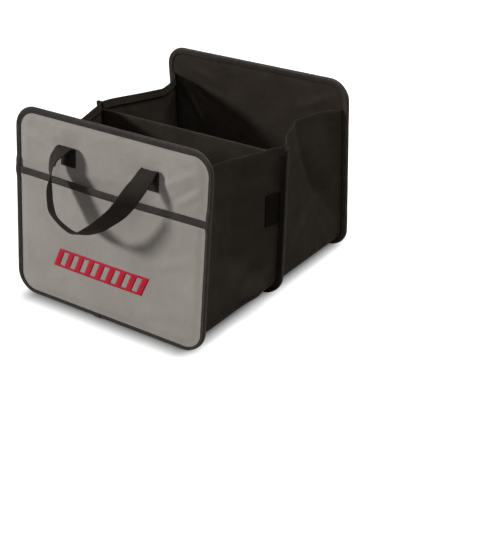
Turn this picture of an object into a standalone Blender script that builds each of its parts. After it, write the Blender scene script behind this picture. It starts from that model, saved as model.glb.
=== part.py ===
"""A collapsible car organizer, standing open.

Two stiffened panels with rounded corners stand at the front and the back, and a lower
stiffened divider stands between them. Each edge is bound with tape. A band of black cloth
runs from panel to divider, down one side, under the floor and up the other side, so the
organizer has two open-topped compartments. The panels lean in at the top, and the spare
cloth of each side wall folds inwards as a V. The front and the back panel each carry a
webbing handle, and the front one also has a flat pocket.

Metres, +Z up. X is the width, -Y is the front. The origin is on the ground, under the
middle of the divider.
"""

import math

import bmesh
import bpy
from mathutils import Vector

# Overall size
WIDTH = 0.390
PANEL_HEIGHT = 0.324
DEPTH = 0.447
CORNER_RADIUS = 0.038
SIDE_HEIGHT = 0.272
DIVIDER_HEIGHT = 0.260
FRONT_LEAN = math.radians(6.5)
REAR_LEAN = math.radians(3.5)

# Sheet thicknesses and the gaps that keep neighbouring sheets apart
BOARD = 0.0020
CLOTH = 0.0006
TAPE = 0.0008
GAP = 0.0003
SEAM_GAP = 0.0005

# Binding tape, as the width that shows on a panel's face
TAPE_WIDTH = 0.010

# Inward folds of the side walls, at the top, and the height at which each fold starts
FRONT_PLEAT = 0.038
REAR_PLEAT = 0.045
PLEAT_START = 0.115

# Pocket on the outer face of the front panel
POCKET_HEIGHT = 0.218
POCKET_SLACK = 0.0055
POCKET_TAPE_WIDTH = 0.011
POCKET_LIFT_BAND = 0.022

# Printed stripes on the front pocket
PRINT_THICKNESS = 0.0003
PRINT_GAP = 0.0004
PRINT_BARS = 9
PRINT_BAR_WIDTH = 0.0125
PRINT_SPACE = 0.0095
PRINT_HEIGHT = 0.034
PRINT_STRIPE = 0.0045
PRINT_SLANT = 0.45
PRINT_CENTRE_X = -0.012
PRINT_CENTRE_Z = 0.083

# Webbing handle
STRAP_WIDTH = 0.030
STRAP_THICKNESS = 0.0016
STRAP_SPREAD = 0.082
STRAP_SEWN_LOW = 0.243
STRAP_FOLD_HEIGHT = 0.272
STRAP_FOLD = [(0.0, 0.0), (0.0010, 0.0020), (0.0036, 0.0030)]
STRAP_SEGMENTS = 78

# Loose boards on the floor
FLOOR_BOARD = 0.0025
FLOOR_BOARD_RADIUS = 0.006
FLOOR_CLEARANCE = 0.003

# Hook-and-loop patches on the side walls
PATCH_WIDTH = 0.030
PATCH_LOW = 0.133
PATCH_HIGH = 0.193
PATCH_THICKNESS = 0.0012
PATCH_SETBACK = 0.006

# How finely the curved sheets are divided
CORNER_STEPS = 6
WALL_ROWS = 10
WALL_COLUMNS = 8
POCKET_COLUMNS = 16
POCKET_ROWS = 12

# Layers, as distances from the middle of a panel's board
COVER_MIDDLE = BOARD / 2 + GAP + CLOTH / 2
FACE = COVER_MIDDLE + CLOTH / 2
INNER_LEG = FACE + GAP + TAPE / 2
INNER_SURFACE = INNER_LEG + TAPE / 2
EDGE_INSET = TAPE + GAP
SEAM_INSET = TAPE_WIDTH + GAP + CLOTH / 2
HALF = WIDTH / 2

# The route of the handle's middle line from its left fold to its right one. Each point is
# (across as a share of STRAP_SPREAD, out of the panel, down from the fold), with the
# direction in which the webbing's width lies there as (across, out, up).
STRAP_ROUTE = [
    ((-1.00, 0.0090, -0.0032), (1.00, 0.00, 0.00)),
    ((-1.02, 0.0145, -0.0022), (1.00, 0.08, 0.00)),
    ((-1.07, 0.0205, 0.0020), (0.95, 0.28, -0.05)),
    ((-1.13, 0.0270, 0.0125), (0.88, 0.38, 0.20)),
    ((-1.12, 0.0325, 0.0255), (0.78, 0.40, 0.48)),
    ((-1.06, 0.0390, 0.0410), (0.62, 0.65, 0.44)),
    ((-1.03, 0.0445, 0.0580), (0.45, 0.82, 0.35)),
    ((-0.95, 0.0485, 0.0770), (0.40, 0.84, 0.38)),
    ((-0.84, 0.0520, 0.0930), (0.24, 0.81, 0.53)),
    ((-0.57, 0.0560, 0.1030), (0.08, 0.85, 0.52)),
    ((-0.33, 0.0580, 0.1085), (-0.01, 0.90, 0.43)),
    ((-0.06, 0.0590, 0.1080), (-0.08, 0.95, 0.29)),
    ((0.27, 0.0580, 0.0930), (-0.20, 0.87, 0.45)),
    ((0.52, 0.0540, 0.0760), (-0.28, 0.79, 0.55)),
    ((0.70, 0.0480, 0.0605), (-0.41, 0.71, 0.57)),
    ((0.82, 0.0420, 0.0440), (-0.55, 0.60, 0.58)),
    ((0.87, 0.0330, 0.0300), (-0.72, 0.42, 0.55)),
    ((0.92, 0.0230, 0.0170), (-0.86, 0.22, 0.45)),
    ((0.98, 0.0130, 0.0030), (-0.98, 0.05, 0.15)),
    ((1.00, 0.0085, -0.0022), (-1.00, 0.00, 0.00)),
]


# Helpers


def clear_scene():
    for obj in list(bpy.data.objects):
        bpy.data.objects.remove(obj)


def make_material(name, colour, roughness, metallic=0.0):
    material = bpy.data.materials.new(name)
    material.use_nodes = True
    shader = material.node_tree.nodes["Principled BSDF"]
    shader.inputs["Base Color"].default_value = (*colour, 1.0)
    shader.inputs["Roughness"].default_value = roughness
    shader.inputs["Metallic"].default_value = metallic
    return material


def smooth_step(value):
    value = min(max(value, 0.0), 1.0)
    return value * value * (3 - 2 * value)


def add_object(name, data, material, parent=None):
    obj = bpy.data.objects.new(name, data)
    obj.data.materials.append(material)
    obj.parent = parent
    PARTS.objects.link(obj)
    return obj


def mapped_sheet(name, columns, rows, place, thickness, material, parent=None, keep=None):
    """A grid of faces whose corners go where place(column, row) says, thickened evenly.

    keep(column, row) says which faces stay, for a sheet with holes."""
    bm = bmesh.new()
    bmesh.ops.create_grid(bm, x_segments=columns, y_segments=rows, size=1.0)
    if keep:
        holes = []
        for face in bm.faces:
            middle = face.calc_center_median()
            column = math.floor((middle.x + 1) / 2 * columns)
            row = math.floor((middle.y + 1) / 2 * rows)
            if not keep(column, row):
                holes.append(face)
        bmesh.ops.delete(bm, geom=holes, context="FACES")
    for vertex in bm.verts:
        column = round((vertex.co.x + 1) / 2 * columns)
        row = round((vertex.co.y + 1) / 2 * rows)
        vertex.co = place(column, row)
    bmesh.ops.remove_doubles(bm, verts=bm.verts, dist=1e-6)
    mesh = bpy.data.meshes.new(name)
    bm.to_mesh(mesh)
    bm.free()
    mesh.shade_smooth()
    obj = add_object(name, mesh, material, parent)
    solidify = obj.modifiers.new("Thickness", "SOLIDIFY")
    solidify.thickness = thickness
    solidify.offset = 0.0
    solidify.use_even_offset = True
    return obj


def flat_plate(name, outline, thickness, material, parent=None, upright=True):
    """A flat sheet from a closed outline, upright in XZ or lying in XY."""
    curve = bpy.data.curves.new(name, "CURVE")
    curve.dimensions = "2D"
    curve.fill_mode = "BOTH"
    curve.extrude = thickness / 2
    spline = curve.splines.new("POLY")
    spline.points.add(len(outline) - 1)
    for point, (across, up) in zip(spline.points, outline):
        point.co = (across, up, 0.0, 1.0)
    spline.use_cyclic_u = True
    obj = add_object(name, curve, material, parent)
    if upright:
        obj.rotation_euler.x = math.radians(90)
    return obj


def corner_arc(centre_x, centre_z, radius, start_degrees):
    """Points of a quarter circle, counter-clockwise, each with its outward normal."""
    points = []
    for step in range(CORNER_STEPS + 1):
        angle = math.radians(start_degrees + 90 * step / CORNER_STEPS)
        normal = Vector((math.cos(angle), math.sin(angle)))
        points.append((Vector((centre_x, centre_z)) + radius * normal, normal))
    return points


def panel_rim(inset, levels=()):
    """The closed rim of a front or back panel, from the top left corner round to it.

    levels are heights at which both sides get a point of their own."""
    half = HALF - inset
    low, high = inset, PANEL_HEIGHT - inset
    radius = CORNER_RADIUS - inset
    side_x, low_z, high_z = half - radius, low + radius, high - radius
    left = [(Vector((-half, z)), Vector((-1.0, 0.0))) for z in sorted(levels, reverse=True)]
    right = [(Vector((half, z)), Vector((1.0, 0.0))) for z in sorted(levels)]
    return (
        left
        + corner_arc(-side_x, low_z, radius, 180)
        + corner_arc(side_x, low_z, radius, 270)
        + right
        + corner_arc(side_x, high_z, radius, 0)
        + corner_arc(-side_x, high_z, radius, 90)
    )


def u_rim(inset, high, side_rows=1):
    """An open rim: down the left side, along the bottom and up the right side."""
    half = HALF - inset
    radius = CORNER_RADIUS - inset
    side_x, low_z = half - radius, inset + radius
    heights = [high + (low_z - high) * row / side_rows for row in range(side_rows)]
    left = [(Vector((-half, z)), Vector((-1.0, 0.0))) for z in heights]
    right = [(Vector((half, z)), Vector((1.0, 0.0))) for z in reversed(heights)]
    return (
        left
        + corner_arc(-side_x, low_z, radius, 180)
        + corner_arc(side_x, low_z, radius, 270)
        + right
    )


def half_width_at(height, inset):
    """Half the width of a sheet with this inset, at a height in its bottom corners."""
    half, radius = HALF - inset, CORNER_RADIUS - inset
    drop = max(0.0, inset + radius - height)
    return half - radius + math.sqrt(max(0.0, radius**2 - drop**2))


def rounded_levels(inset, high, rows):
    """Heights from a sheet's bottom edge, close together round its bottom corners."""
    radius = CORNER_RADIUS - inset
    arc = [
        inset + radius * (1 - math.cos(math.radians(90 * step / CORNER_STEPS)))
        for step in range(CORNER_STEPS + 1)
    ]
    rest = [arc[-1] + (high - arc[-1]) * row / rows for row in range(1, rows + 1)]
    return arc + rest


def smooth_route(points, samples):
    """Points of a Catmull-Rom curve through the given points."""
    ends = [2 * points[0] - points[1], *points, 2 * points[-1] - points[-2]]
    route = []
    spans = len(points) - 1
    for sample in range(samples + 1):
        place = sample / samples * spans
        span = min(int(place), spans - 1)
        t = place - span
        a, b, c, d = ends[span : span + 4]
        route.append(
            0.5
            * (
                2 * b
                + (c - a) * t
                + (2 * a - 5 * b + 4 * c - d) * t**2
                + (3 * b - a - 3 * c + d) * t**3
            )
        )
    return route


# Where the leaning panels stand


def panel_frame(name, y, lean, turned):
    """An empty at the middle of a panel's bottom edge. Its -Y side faces out of the box."""
    frame = bpy.data.objects.new(name, None)
    frame.location = (0.0, y, INNER_SURFACE * math.sin(lean))
    frame.rotation_euler = (-lean, 0.0, math.pi if turned else 0.0)
    PARTS.objects.link(frame)
    return frame


def inner_face_y(height, lean):
    """How far a leaning panel's lining, with its seam, stands from the divider."""
    lift = INNER_SURFACE * math.sin(lean)
    seam = (FACE + SEAM_GAP) / math.cos(lean)
    return DEPTH / 2 - seam - (height - lift) * math.tan(lean)


def divider_face_y():
    return FACE + SEAM_GAP


# Cloth band with its inward folds


def pleat(height, t, depth):
    """How far the side wall is drawn in, at a share t of the way from panel to divider.

    The wall folds as a V. Below PLEAT_START the fold runs out in a flat triangle."""
    rise = max(0.0, height - SEAM_INSET)
    slack = depth * math.sqrt(rise / (SIDE_HEIGHT - SEAM_INSET))
    across = 2 * min(t, 1 - t)
    return slack * min(across, rise / PLEAT_START)


def band_point(point, normal, t, lean, depth, facing):
    """A point of the cloth band. facing is -1 for the front band and 1 for the rear one."""
    far = inner_face_y(point.y, lean)
    near = divider_face_y()
    drawn = point - normal * pleat(point.y, t, depth)
    return Vector((drawn.x, facing * (far + (near - far) * t), point.y))


def make_band(name, lean, depth, facing, material):
    rim = u_rim(SEAM_INSET, SIDE_HEIGHT, WALL_ROWS)

    def place(column, row):
        return band_point(*rim[column], row / WALL_COLUMNS, lean, depth, facing)

    return mapped_sheet(name, len(rim) - 1, WALL_COLUMNS, place, CLOTH, material)


def make_patch(name, side, material):
    """A hook-and-loop patch on the front band's outer face, beside the divider."""
    columns, rows = 2, 4
    wall = Vector((side * (HALF - SEAM_INSET), 0.0))
    normal = Vector((side, 0.0))
    offset = CLOTH / 2 + GAP + PATCH_THICKNESS / 2

    def on_wall(height, away):
        far = inner_face_y(height, FRONT_LEAN)
        t = 1 - (away - divider_face_y()) / (far - divider_face_y())
        point = Vector((wall.x, height))
        return band_point(point, normal, t, FRONT_LEAN, FRONT_PLEAT, -1)

    def place(column, row):
        away = PATCH_SETBACK + PATCH_WIDTH * column / columns + divider_face_y()
        height = PATCH_LOW + (PATCH_HIGH - PATCH_LOW) * row / rows
        step = 0.001
        along = on_wall(height, away + step) - on_wall(height, away)
        up = on_wall(height + step, away) - on_wall(height, away)
        outward = along.cross(up).normalized()
        if outward.x * side < 0:
            outward.negate()
        return on_wall(height, away) + outward * offset

    return mapped_sheet(name, columns, rows, place, PATCH_THICKNESS, material)


# Panels


def pocket_lift(height):
    """The pocket cloth stands off the cover near its mouth, to take the folded tape."""
    start = POCKET_HEIGHT - POCKET_LIFT_BAND
    ramp = smooth_step((height - start) / (POCKET_LIFT_BAND - POCKET_TAPE_WIDTH))
    return GAP + (TAPE + GAP) * ramp


def pocket_middle(across, height):
    """Distance of the pocket cloth's middle from the middle of the board."""
    free = HALF - TAPE_WIDTH
    sideways = math.cos(math.pi / 2 * min(1.0, abs(across) / free)) ** 2
    upwards = smooth_step((height - TAPE_WIDTH) / (POCKET_HEIGHT - TAPE_WIDTH))
    return FACE + pocket_lift(height) + CLOTH / 2 + POCKET_SLACK * sideways * upwards


def lift_levels():
    """Heights at which the pocket cloth starts to stand off, is fully off, and ends."""
    return [
        POCKET_HEIGHT - POCKET_LIFT_BAND,
        POCKET_HEIGHT - POCKET_TAPE_WIDTH,
        POCKET_HEIGHT,
    ]


def outer_leg_over_pocket(height):
    """Distance of the binding's outer leg from the middle of the board, at the front.

    It lies on the pocket cloth, and comes down to the cover above the pocket's mouth."""
    step = smooth_step((POCKET_HEIGHT + 2 * TAPE_WIDTH - height) / TAPE_WIDTH)
    over_cover = INNER_LEG
    over_pocket = pocket_middle(HALF, min(height, POCKET_HEIGHT)) + CLOTH / 2 + GAP + TAPE / 2
    return over_cover + (over_pocket - over_cover) * step


def make_panel_binding(name, frame, material, pocketed):
    above = [POCKET_HEIGHT + share * TAPE_WIDTH for share in (1.0, 1.5, 2.0)]
    rim = panel_rim(0.0, lift_levels() + above if pocketed else ())
    rim.append(rim[0])

    def place(column, row):
        point, normal = rim[column]
        inset = TAPE_WIDTH if row in (0, 3) else TAPE / 2
        edge = point - normal * inset
        outer = outer_leg_over_pocket(edge.y) if pocketed else INNER_LEG
        return Vector((edge.x, -outer if row < 2 else INNER_LEG, edge.y))

    return mapped_sheet(name, len(rim) - 1, 3, place, TAPE, material, frame)


def make_pocket(name, frame, material):
    start, *rest = lift_levels()
    levels = rounded_levels(EDGE_INSET, start, POCKET_ROWS) + rest

    def place(column, row):
        height = levels[row]
        across = (2 * column / POCKET_COLUMNS - 1) * half_width_at(height, EDGE_INSET)
        return Vector((across, -pocket_middle(across, height), height))

    rows = len(levels) - 1
    return mapped_sheet(name, POCKET_COLUMNS, rows, place, CLOTH, material, frame)


def make_pocket_binding(name, frame, material):
    """Tape folded over the pocket's mouth, between the inner edges of the panel binding."""
    half = HALF - TAPE_WIDTH - GAP
    step_out = CLOTH / 2 + GAP + TAPE / 2

    def place(column, row):
        across = (2 * column / POCKET_COLUMNS - 1) * half
        low = POCKET_HEIGHT - POCKET_TAPE_WIDTH
        high = POCKET_HEIGHT + GAP + TAPE / 2
        height = low if row in (0, 3) else high
        side = 1 if row < 2 else -1
        depth = pocket_middle(across, min(height, POCKET_HEIGHT)) + side * step_out
        return Vector((across, -depth, height))

    return mapped_sheet(name, POCKET_COLUMNS, 3, place, TAPE, material, frame)


def make_handle(name, frame, material):
    """A strap sewn flat at both ends, folded over at the top and hanging in a twisted loop."""
    out = FACE + GAP + STRAP_THICKNESS / 2
    across_left = Vector((1.0, 0.0, 0.0))
    fold = [Vector((0.0, out + step, STRAP_FOLD_HEIGHT + rise)) for step, rise in STRAP_FOLD]
    left = Vector((-STRAP_SPREAD, 0.0, 0.0))
    points = [left + spot for spot in fold]
    widths = [across_left] * len(fold)
    for (share, depth, drop), width in STRAP_ROUTE:
        points.append(Vector((share * STRAP_SPREAD, depth, STRAP_FOLD_HEIGHT - drop)))
        widths.append(Vector(width))
    points += [spot - left for spot in reversed(fold)]
    widths += [-across_left] * len(fold)

    sewn_end = Vector((-STRAP_SPREAD, out, STRAP_SEWN_LOW))
    route = [sewn_end] + smooth_route(points, STRAP_SEGMENTS - 2)
    route.append(sewn_end - 2 * left)
    breadth = [across_left] + smooth_route(widths, STRAP_SEGMENTS - 2) + [-across_left]

    def place(column, row):
        before, after = route[max(column - 1, 0)], route[min(column + 1, STRAP_SEGMENTS)]
        along = (after - before).normalized()
        if column in (1, STRAP_SEGMENTS - 1):
            along = Vector((0.0, 0.0, 1.0))
        across = breadth[column] - along * breadth[column].dot(along)
        spot = route[column] + across.normalized() * STRAP_WIDTH * (row - 0.5)
        return Vector((spot.x, -spot.y, spot.z))

    return mapped_sheet(name, STRAP_SEGMENTS, 1, place, STRAP_THICKNESS, material, frame)


def make_print(name, frame, material):
    """Slanted bars between two stripes, a thin printed layer that follows the pocket."""
    columns, rows = 2 * PRINT_BARS - 1, 3
    edges = [0.0]
    for column in range(columns):
        edges.append(edges[-1] + (PRINT_SPACE if column % 2 else PRINT_BAR_WIDTH))
    heights = [0.0, PRINT_STRIPE, PRINT_HEIGHT - PRINT_STRIPE, PRINT_HEIGHT]
    out = CLOTH / 2 + PRINT_GAP + PRINT_THICKNESS / 2

    def keep(column, row):
        return row != 1 or column % 2 == 0

    def place(column, row):
        up = heights[row] - PRINT_HEIGHT / 2
        across = edges[column] - edges[-1] / 2 + PRINT_SLANT * up + PRINT_CENTRE_X
        height = PRINT_CENTRE_Z + up
        return Vector((across, -pocket_middle(across, height) - out, height))

    return mapped_sheet(name, columns, rows, place, PRINT_THICKNESS, material, frame, keep)


def make_panel(side, frame, materials, pocketed):
    """One stiffened panel: board, cloth on both faces, binding and handle."""
    outline = [tuple(point) for point, _ in panel_rim(EDGE_INSET)]
    flat_plate(f"{side}_board", outline, BOARD, materials["board"], frame)
    cover = flat_plate(f"{side}_cover", outline, CLOTH, materials["grey"], frame)
    cover.location.y = -COVER_MIDDLE
    lining = flat_plate(f"{side}_lining", outline, CLOTH, materials["black"], frame)
    lining.location.y = COVER_MIDDLE
    make_panel_binding(f"{side}_binding", frame, materials["tape"], pocketed)
    make_handle(f"{side}_handle", frame, materials["webbing"])


# Divider


def make_divider(materials):
    board_top = DIVIDER_HEIGHT - CLOTH - GAP
    rim = u_rim(EDGE_INSET, board_top)
    outline = [tuple(point) for point, _ in rim]
    flat_plate("divider_board", outline, BOARD, materials["board"])

    levels = rounded_levels(EDGE_INSET, DIVIDER_HEIGHT - CLOTH / 2, 1)
    count = len(levels)

    def cover_point(column, row):
        first = row < count
        height = levels[row] if first else levels[2 * count - 1 - row]
        across = (2 * column - 1) * half_width_at(height, EDGE_INSET)
        return Vector((across, -COVER_MIDDLE if first else COVER_MIDDLE, height))

    mapped_sheet("divider_cover", 1, 2 * count - 1, cover_point, CLOTH, materials["black"])

    edge = u_rim(0.0, SIDE_HEIGHT)

    def binding_point(column, row):
        point, normal = edge[column]
        inset = TAPE_WIDTH if row in (0, 3) else TAPE / 2
        spot = point - normal * inset
        return Vector((spot.x, -INNER_LEG if row < 2 else INNER_LEG, spot.y))

    mapped_sheet("divider_binding", len(edge) - 1, 3, binding_point, TAPE, materials["tape"])


# Floor


def make_floor_board(name, lean, facing, material):
    """A loose stiff board that lies on the band's flat floor."""
    floor = SEAM_INSET + CLOTH / 2 + GAP
    half = HALF - CORNER_RADIUS - FLOOR_CLEARANCE
    near = divider_face_y() + FLOOR_CLEARANCE
    far = inner_face_y(floor + FLOOR_BOARD, lean) - FLOOR_CLEARANCE
    radius = FLOOR_BOARD_RADIUS
    x, low, high = half - radius, near + radius, far - radius
    corners = (
        corner_arc(-x, low, radius, 180)
        + corner_arc(x, low, radius, 270)
        + corner_arc(x, high, radius, 0)
        + corner_arc(-x, high, radius, 90)
    )
    outline = [tuple(point) for point, _ in corners]
    plate = flat_plate(name, outline, FLOOR_BOARD, material, upright=False)
    plate.location.z = floor + FLOOR_BOARD / 2
    if facing < 0:
        plate.rotation_euler.z = math.pi
    return plate


def main():
    materials = {
        "grey": make_material("grey_cloth", (0.27, 0.25, 0.225), 0.6),
        "black": make_material("black_cloth", (0.020, 0.018, 0.016), 0.75),
        "tape": make_material("binding_tape", (0.034, 0.030, 0.027), 0.8),
        "webbing": make_material("webbing", (0.022, 0.020, 0.018), 0.7),
        "board": make_material("stiffener_board", (0.55, 0.53, 0.50), 0.5),
        "floor": make_material("floor_board_cloth", (0.022, 0.020, 0.018), 0.8),
        "hook": make_material("hook_tape", (0.010, 0.009, 0.008), 0.95),
        "red": make_material("red_print", (0.45, 0.015, 0.035), 0.5),
    }
    front = panel_frame("front_frame", -DEPTH / 2, FRONT_LEAN, turned=False)
    rear = panel_frame("rear_frame", DEPTH / 2, REAR_LEAN, turned=True)
    make_panel("front", front, materials, pocketed=True)
    make_panel("rear", rear, materials, pocketed=False)
    make_pocket("front_pocket", front, materials["grey"])
    make_pocket_binding("front_pocket_binding", front, materials["tape"])
    make_print("front_print", front, materials["red"])
    make_divider(materials)
    make_band("front_band", FRONT_LEAN, FRONT_PLEAT, -1, materials["black"])
    make_band("rear_band", REAR_LEAN, REAR_PLEAT, 1, materials["black"])
    make_floor_board("front_floor_board", FRONT_LEAN, -1, materials["floor"])
    make_floor_board("rear_floor_board", REAR_LEAN, 1, materials["floor"])
    make_patch("left_hook_patch", -1, materials["hook"])
    make_patch("right_hook_patch", 1, materials["hook"])


clear_scene()
PARTS = bpy.data.collections.new("car_organizer")
bpy.context.scene.collection.children.link(PARTS)
main()
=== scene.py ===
# %% [markdown]
# # A collapsible car organizer, standing open
#
# The organizer is a soft box for a car boot. Two stiff panels with rounded corners stand at
# the front and the back, a lower stiff divider stands between them, and black cloth makes the
# side walls and the floor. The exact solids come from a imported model, and this lesson dresses
# them as sewn cloth: it keeps their sizes and places, and makes every visible surface anew.

# %% Load the frame
import math

import bmesh
import bpy
from mathutils import Euler, Matrix, Vector, noise


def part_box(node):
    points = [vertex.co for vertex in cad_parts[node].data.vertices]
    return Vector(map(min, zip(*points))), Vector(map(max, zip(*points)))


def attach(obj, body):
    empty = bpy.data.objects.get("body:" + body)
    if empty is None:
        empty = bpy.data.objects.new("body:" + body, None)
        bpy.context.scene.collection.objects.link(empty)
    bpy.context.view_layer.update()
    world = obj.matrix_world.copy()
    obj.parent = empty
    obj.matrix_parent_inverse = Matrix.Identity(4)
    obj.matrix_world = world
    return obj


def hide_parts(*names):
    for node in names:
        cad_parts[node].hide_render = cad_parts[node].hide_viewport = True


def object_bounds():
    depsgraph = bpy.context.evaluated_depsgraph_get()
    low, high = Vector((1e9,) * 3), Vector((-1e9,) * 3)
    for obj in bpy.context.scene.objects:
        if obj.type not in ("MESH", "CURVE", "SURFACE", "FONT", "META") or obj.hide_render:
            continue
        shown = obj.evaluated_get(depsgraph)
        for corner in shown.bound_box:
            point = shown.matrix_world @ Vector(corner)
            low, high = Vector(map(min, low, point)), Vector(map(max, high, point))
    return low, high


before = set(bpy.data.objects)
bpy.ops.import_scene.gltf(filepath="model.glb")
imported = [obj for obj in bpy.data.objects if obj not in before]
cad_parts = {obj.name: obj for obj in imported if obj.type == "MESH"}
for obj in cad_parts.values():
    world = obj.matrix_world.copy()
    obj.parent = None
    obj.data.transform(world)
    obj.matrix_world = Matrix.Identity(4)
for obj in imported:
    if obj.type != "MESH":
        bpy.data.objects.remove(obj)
bpy.context.view_layer.update()
cad_bounds = [list(corner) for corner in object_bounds()]
print("nodes in the frame:", len(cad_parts))
print("box of the solids:", cad_bounds)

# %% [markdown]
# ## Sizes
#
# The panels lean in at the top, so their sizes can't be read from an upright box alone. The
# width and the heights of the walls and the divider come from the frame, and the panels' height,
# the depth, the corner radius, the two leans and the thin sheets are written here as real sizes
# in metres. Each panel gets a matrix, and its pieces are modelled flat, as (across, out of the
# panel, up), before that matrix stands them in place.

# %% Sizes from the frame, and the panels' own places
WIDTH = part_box("front_binding")[1][0] * 2
SIDE_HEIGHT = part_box("divider_binding")[1][2]
DIVIDER_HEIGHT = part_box("divider_cover")[1][2]
PANEL_HEIGHT = 0.324
DEPTH = 0.447
CORNER_RADIUS = 0.038
FRONT_LEAN = math.radians(6.5)
REAR_LEAN = math.radians(3.5)

BOARD = 0.0020
CLOTH = 0.0006
TAPE = 0.0008
GAP = 0.0003
SEAM_GAP = 0.0005
TAPE_WIDTH = 0.010

HALF = WIDTH / 2
COVER_MIDDLE = BOARD / 2 + GAP + CLOTH / 2
FACE = COVER_MIDDLE + CLOTH / 2
INNER_LEG = FACE + GAP + TAPE / 2
INNER_SURFACE = INNER_LEG + TAPE / 2
EDGE_INSET = TAPE + GAP
SEAM_INSET = TAPE_WIDTH + GAP + CLOTH / 2


def stand_panel(y, lean, turn):
    """The matrix that takes a flat panel to its place, with its -Y side facing out."""
    foot = Matrix.Translation((0.0, y, INNER_SURFACE * math.sin(lean)))
    return foot @ Euler((-lean, 0.0, turn)).to_matrix().to_4x4()


FRONT = stand_panel(-DEPTH / 2, FRONT_LEAN, 0.0)
REAR = stand_panel(DEPTH / 2, REAR_LEAN, math.pi)
DIVIDER = Matrix.Identity(4)
print("width", round(WIDTH, 4), "side height", round(SIDE_HEIGHT, 4))

# %% [markdown]
# ## Camera
#
# The camera stands to the front right, about 28 degrees above the floor. Its distance and lens
# were fitted to the corners of the two panels, so the perspective is that of the photograph.

# %% Camera
TARGET = Vector((0.1673, -0.0675, 0.0644))
CAMERA_DISTANCE = 1.743
CAMERA_SENSOR = 36.0
CAMERA_LENS = 69.73
CAMERA_AZIMUTH = math.radians(34.52)
CAMERA_HEIGHT_ANGLE = math.radians(28.41)

camera_data = bpy.data.cameras.new("camera")
camera_data.sensor_fit = "VERTICAL"
camera_data.sensor_height = CAMERA_SENSOR
camera_data.lens = CAMERA_LENS
camera = bpy.data.objects.new("camera", camera_data)
toward = Vector((
    math.sin(CAMERA_AZIMUTH) * math.cos(CAMERA_HEIGHT_ANGLE),
    -math.cos(CAMERA_AZIMUTH) * math.cos(CAMERA_HEIGHT_ANGLE),
    math.sin(CAMERA_HEIGHT_ANGLE),
))
camera.location = TARGET + toward * CAMERA_DISTANCE
camera.rotation_euler = toward.to_track_quat("Z", "Y").to_euler()
bpy.context.scene.collection.objects.link(camera)
bpy.context.scene.camera = camera
bpy.context.scene.view_settings.view_transform = "Standard"
print("camera at", [round(value, 3) for value in camera.location])

# %% [markdown]
# ## Lamps
#
# The shadow of the handle on the front panel tells where the main lamp is: low, in front and
# far to the left. One large square lamp stands there, so the shadow has soft edges. Four weak
# lamps open up the shade that it leaves: from the right, from the front, from above into the
# compartments, and from behind for the back of the box. Together they light the cloth at a
# plain level, at which a colour shows about as it is written.

# %% Lamps
MIDDLE = Vector((0.0, 0.0, 0.15))
COMPARTMENTS = Vector((0.1, 0.0, 0.1))
# name, point that it is turned to, direction from there, distance, size, power in watts
LAMPS = [
    ("key_lamp", MIDDLE, (-0.752, -0.567, 0.337), 12.0, 1.68, 1540.0),
    ("fill_lamp", MIDDLE, (0.718, 0.192, 0.669), 2.2, 1.3, 20.0),
    ("front_lamp", MIDDLE, (0.220, -0.790, 0.574), 2.2, 1.3, 6.5),
    ("top_lamp", COMPARTMENTS, (0.160, -0.020, 1.100), 1.11176, 0.35, 7.0),
    ("back_lamp", MIDDLE, (-0.300, 0.770, 0.560), 2.2, 1.3, 20.0),
]


def add_lamp(name, aim, direction, distance, size, power):
    """A square lamp, in a direction from the point that it is turned to."""
    data = bpy.data.lights.new(name, "AREA")
    data.shape = "SQUARE"
    data.size = size
    data.energy = power
    lamp = bpy.data.objects.new(name, data)
    away = Vector(direction).normalized()
    lamp.location = aim + away * distance
    lamp.rotation_euler = away.to_track_quat("Z", "Y").to_euler()
    bpy.context.scene.collection.objects.link(lamp)
    print(name, "at", [round(value, 2) for value in lamp.location])


for lamp_row in LAMPS:
    add_lamp(*lamp_row)

# %% [markdown]
# ## A helper for nodes
#
# The world, the floor and every finish are trees of small nodes. An input of a node takes
# either a plain value or the result of another node. A short helper sees to both, so each tree
# below can be read from top to bottom, and two more join values by a Math node.


# %% Adding a node
def set_inputs(tree, node, values):
    """Each value goes to its input: another node's result is linked, the rest is written."""
    for key, value in values.items():
        if isinstance(value, bpy.types.NodeSocket):
            tree.links.new(value, node.inputs[key])
        else:
            node.inputs[key].default_value = value


def add_node(tree, kind, values):
    """A new node of a kind, with its inputs filled."""
    node = tree.nodes.new("ShaderNode" + kind)
    set_inputs(tree, node, values)
    return node


def combine(tree, operation, first, second):
    """Two values joined by a Math node."""
    node = add_node(tree, "Math", {0: first, 1: second})
    node.operation = operation
    return node.outputs["Value"]


def combine_vectors(tree, operation, *vectors):
    """The outputs of a Vector Math node over one or two vectors."""
    node = add_node(tree, "VectorMath", dict(enumerate(vectors)))
    node.operation = operation
    return node.outputs


print("node helpers ready")

# %% [markdown]
# ## World and floor
#
# The world adds a weak even light, and is white only to the camera's own rays. The floor is a
# plain grey that gets white in the same way, with a light of its own that only the camera and
# reflections see, and nothing of it falls on the cloth. Near the box that light runs out in a
# smooth step: the floor keeps the real shadow under and beside the box, and the step also
# paints a soft band of shade round the box's footprint, where the floor is lit as well.

# %% World and floor
WORLD_LEVEL = 0.05
WORLD_COLOUR = (1.0, 0.985, 0.96, 1.0)
WHITE = (1.0, 1.0, 1.0, 1.0)
FLOOR_GREY = (0.18, 0.18, 0.18, 1.0)
FLOOR_GREY_SEEN = (0.30, 0.30, 0.30, 1.0)
FLOOR_ROUGHNESS = 0.9
FLOOR_HALF_SIZE = 6.0
FLOOR_DROP = 0.0004
# painted shade: near the box the floor's own light drops to this, over this reach, from this far
# inside the footprint
FLOOR_LIFT_IN_PAINTED_HALO = 0.04
PAINTED_HALO_REACH = 0.048
PAINTED_HALO_INSET = 0.044


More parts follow.
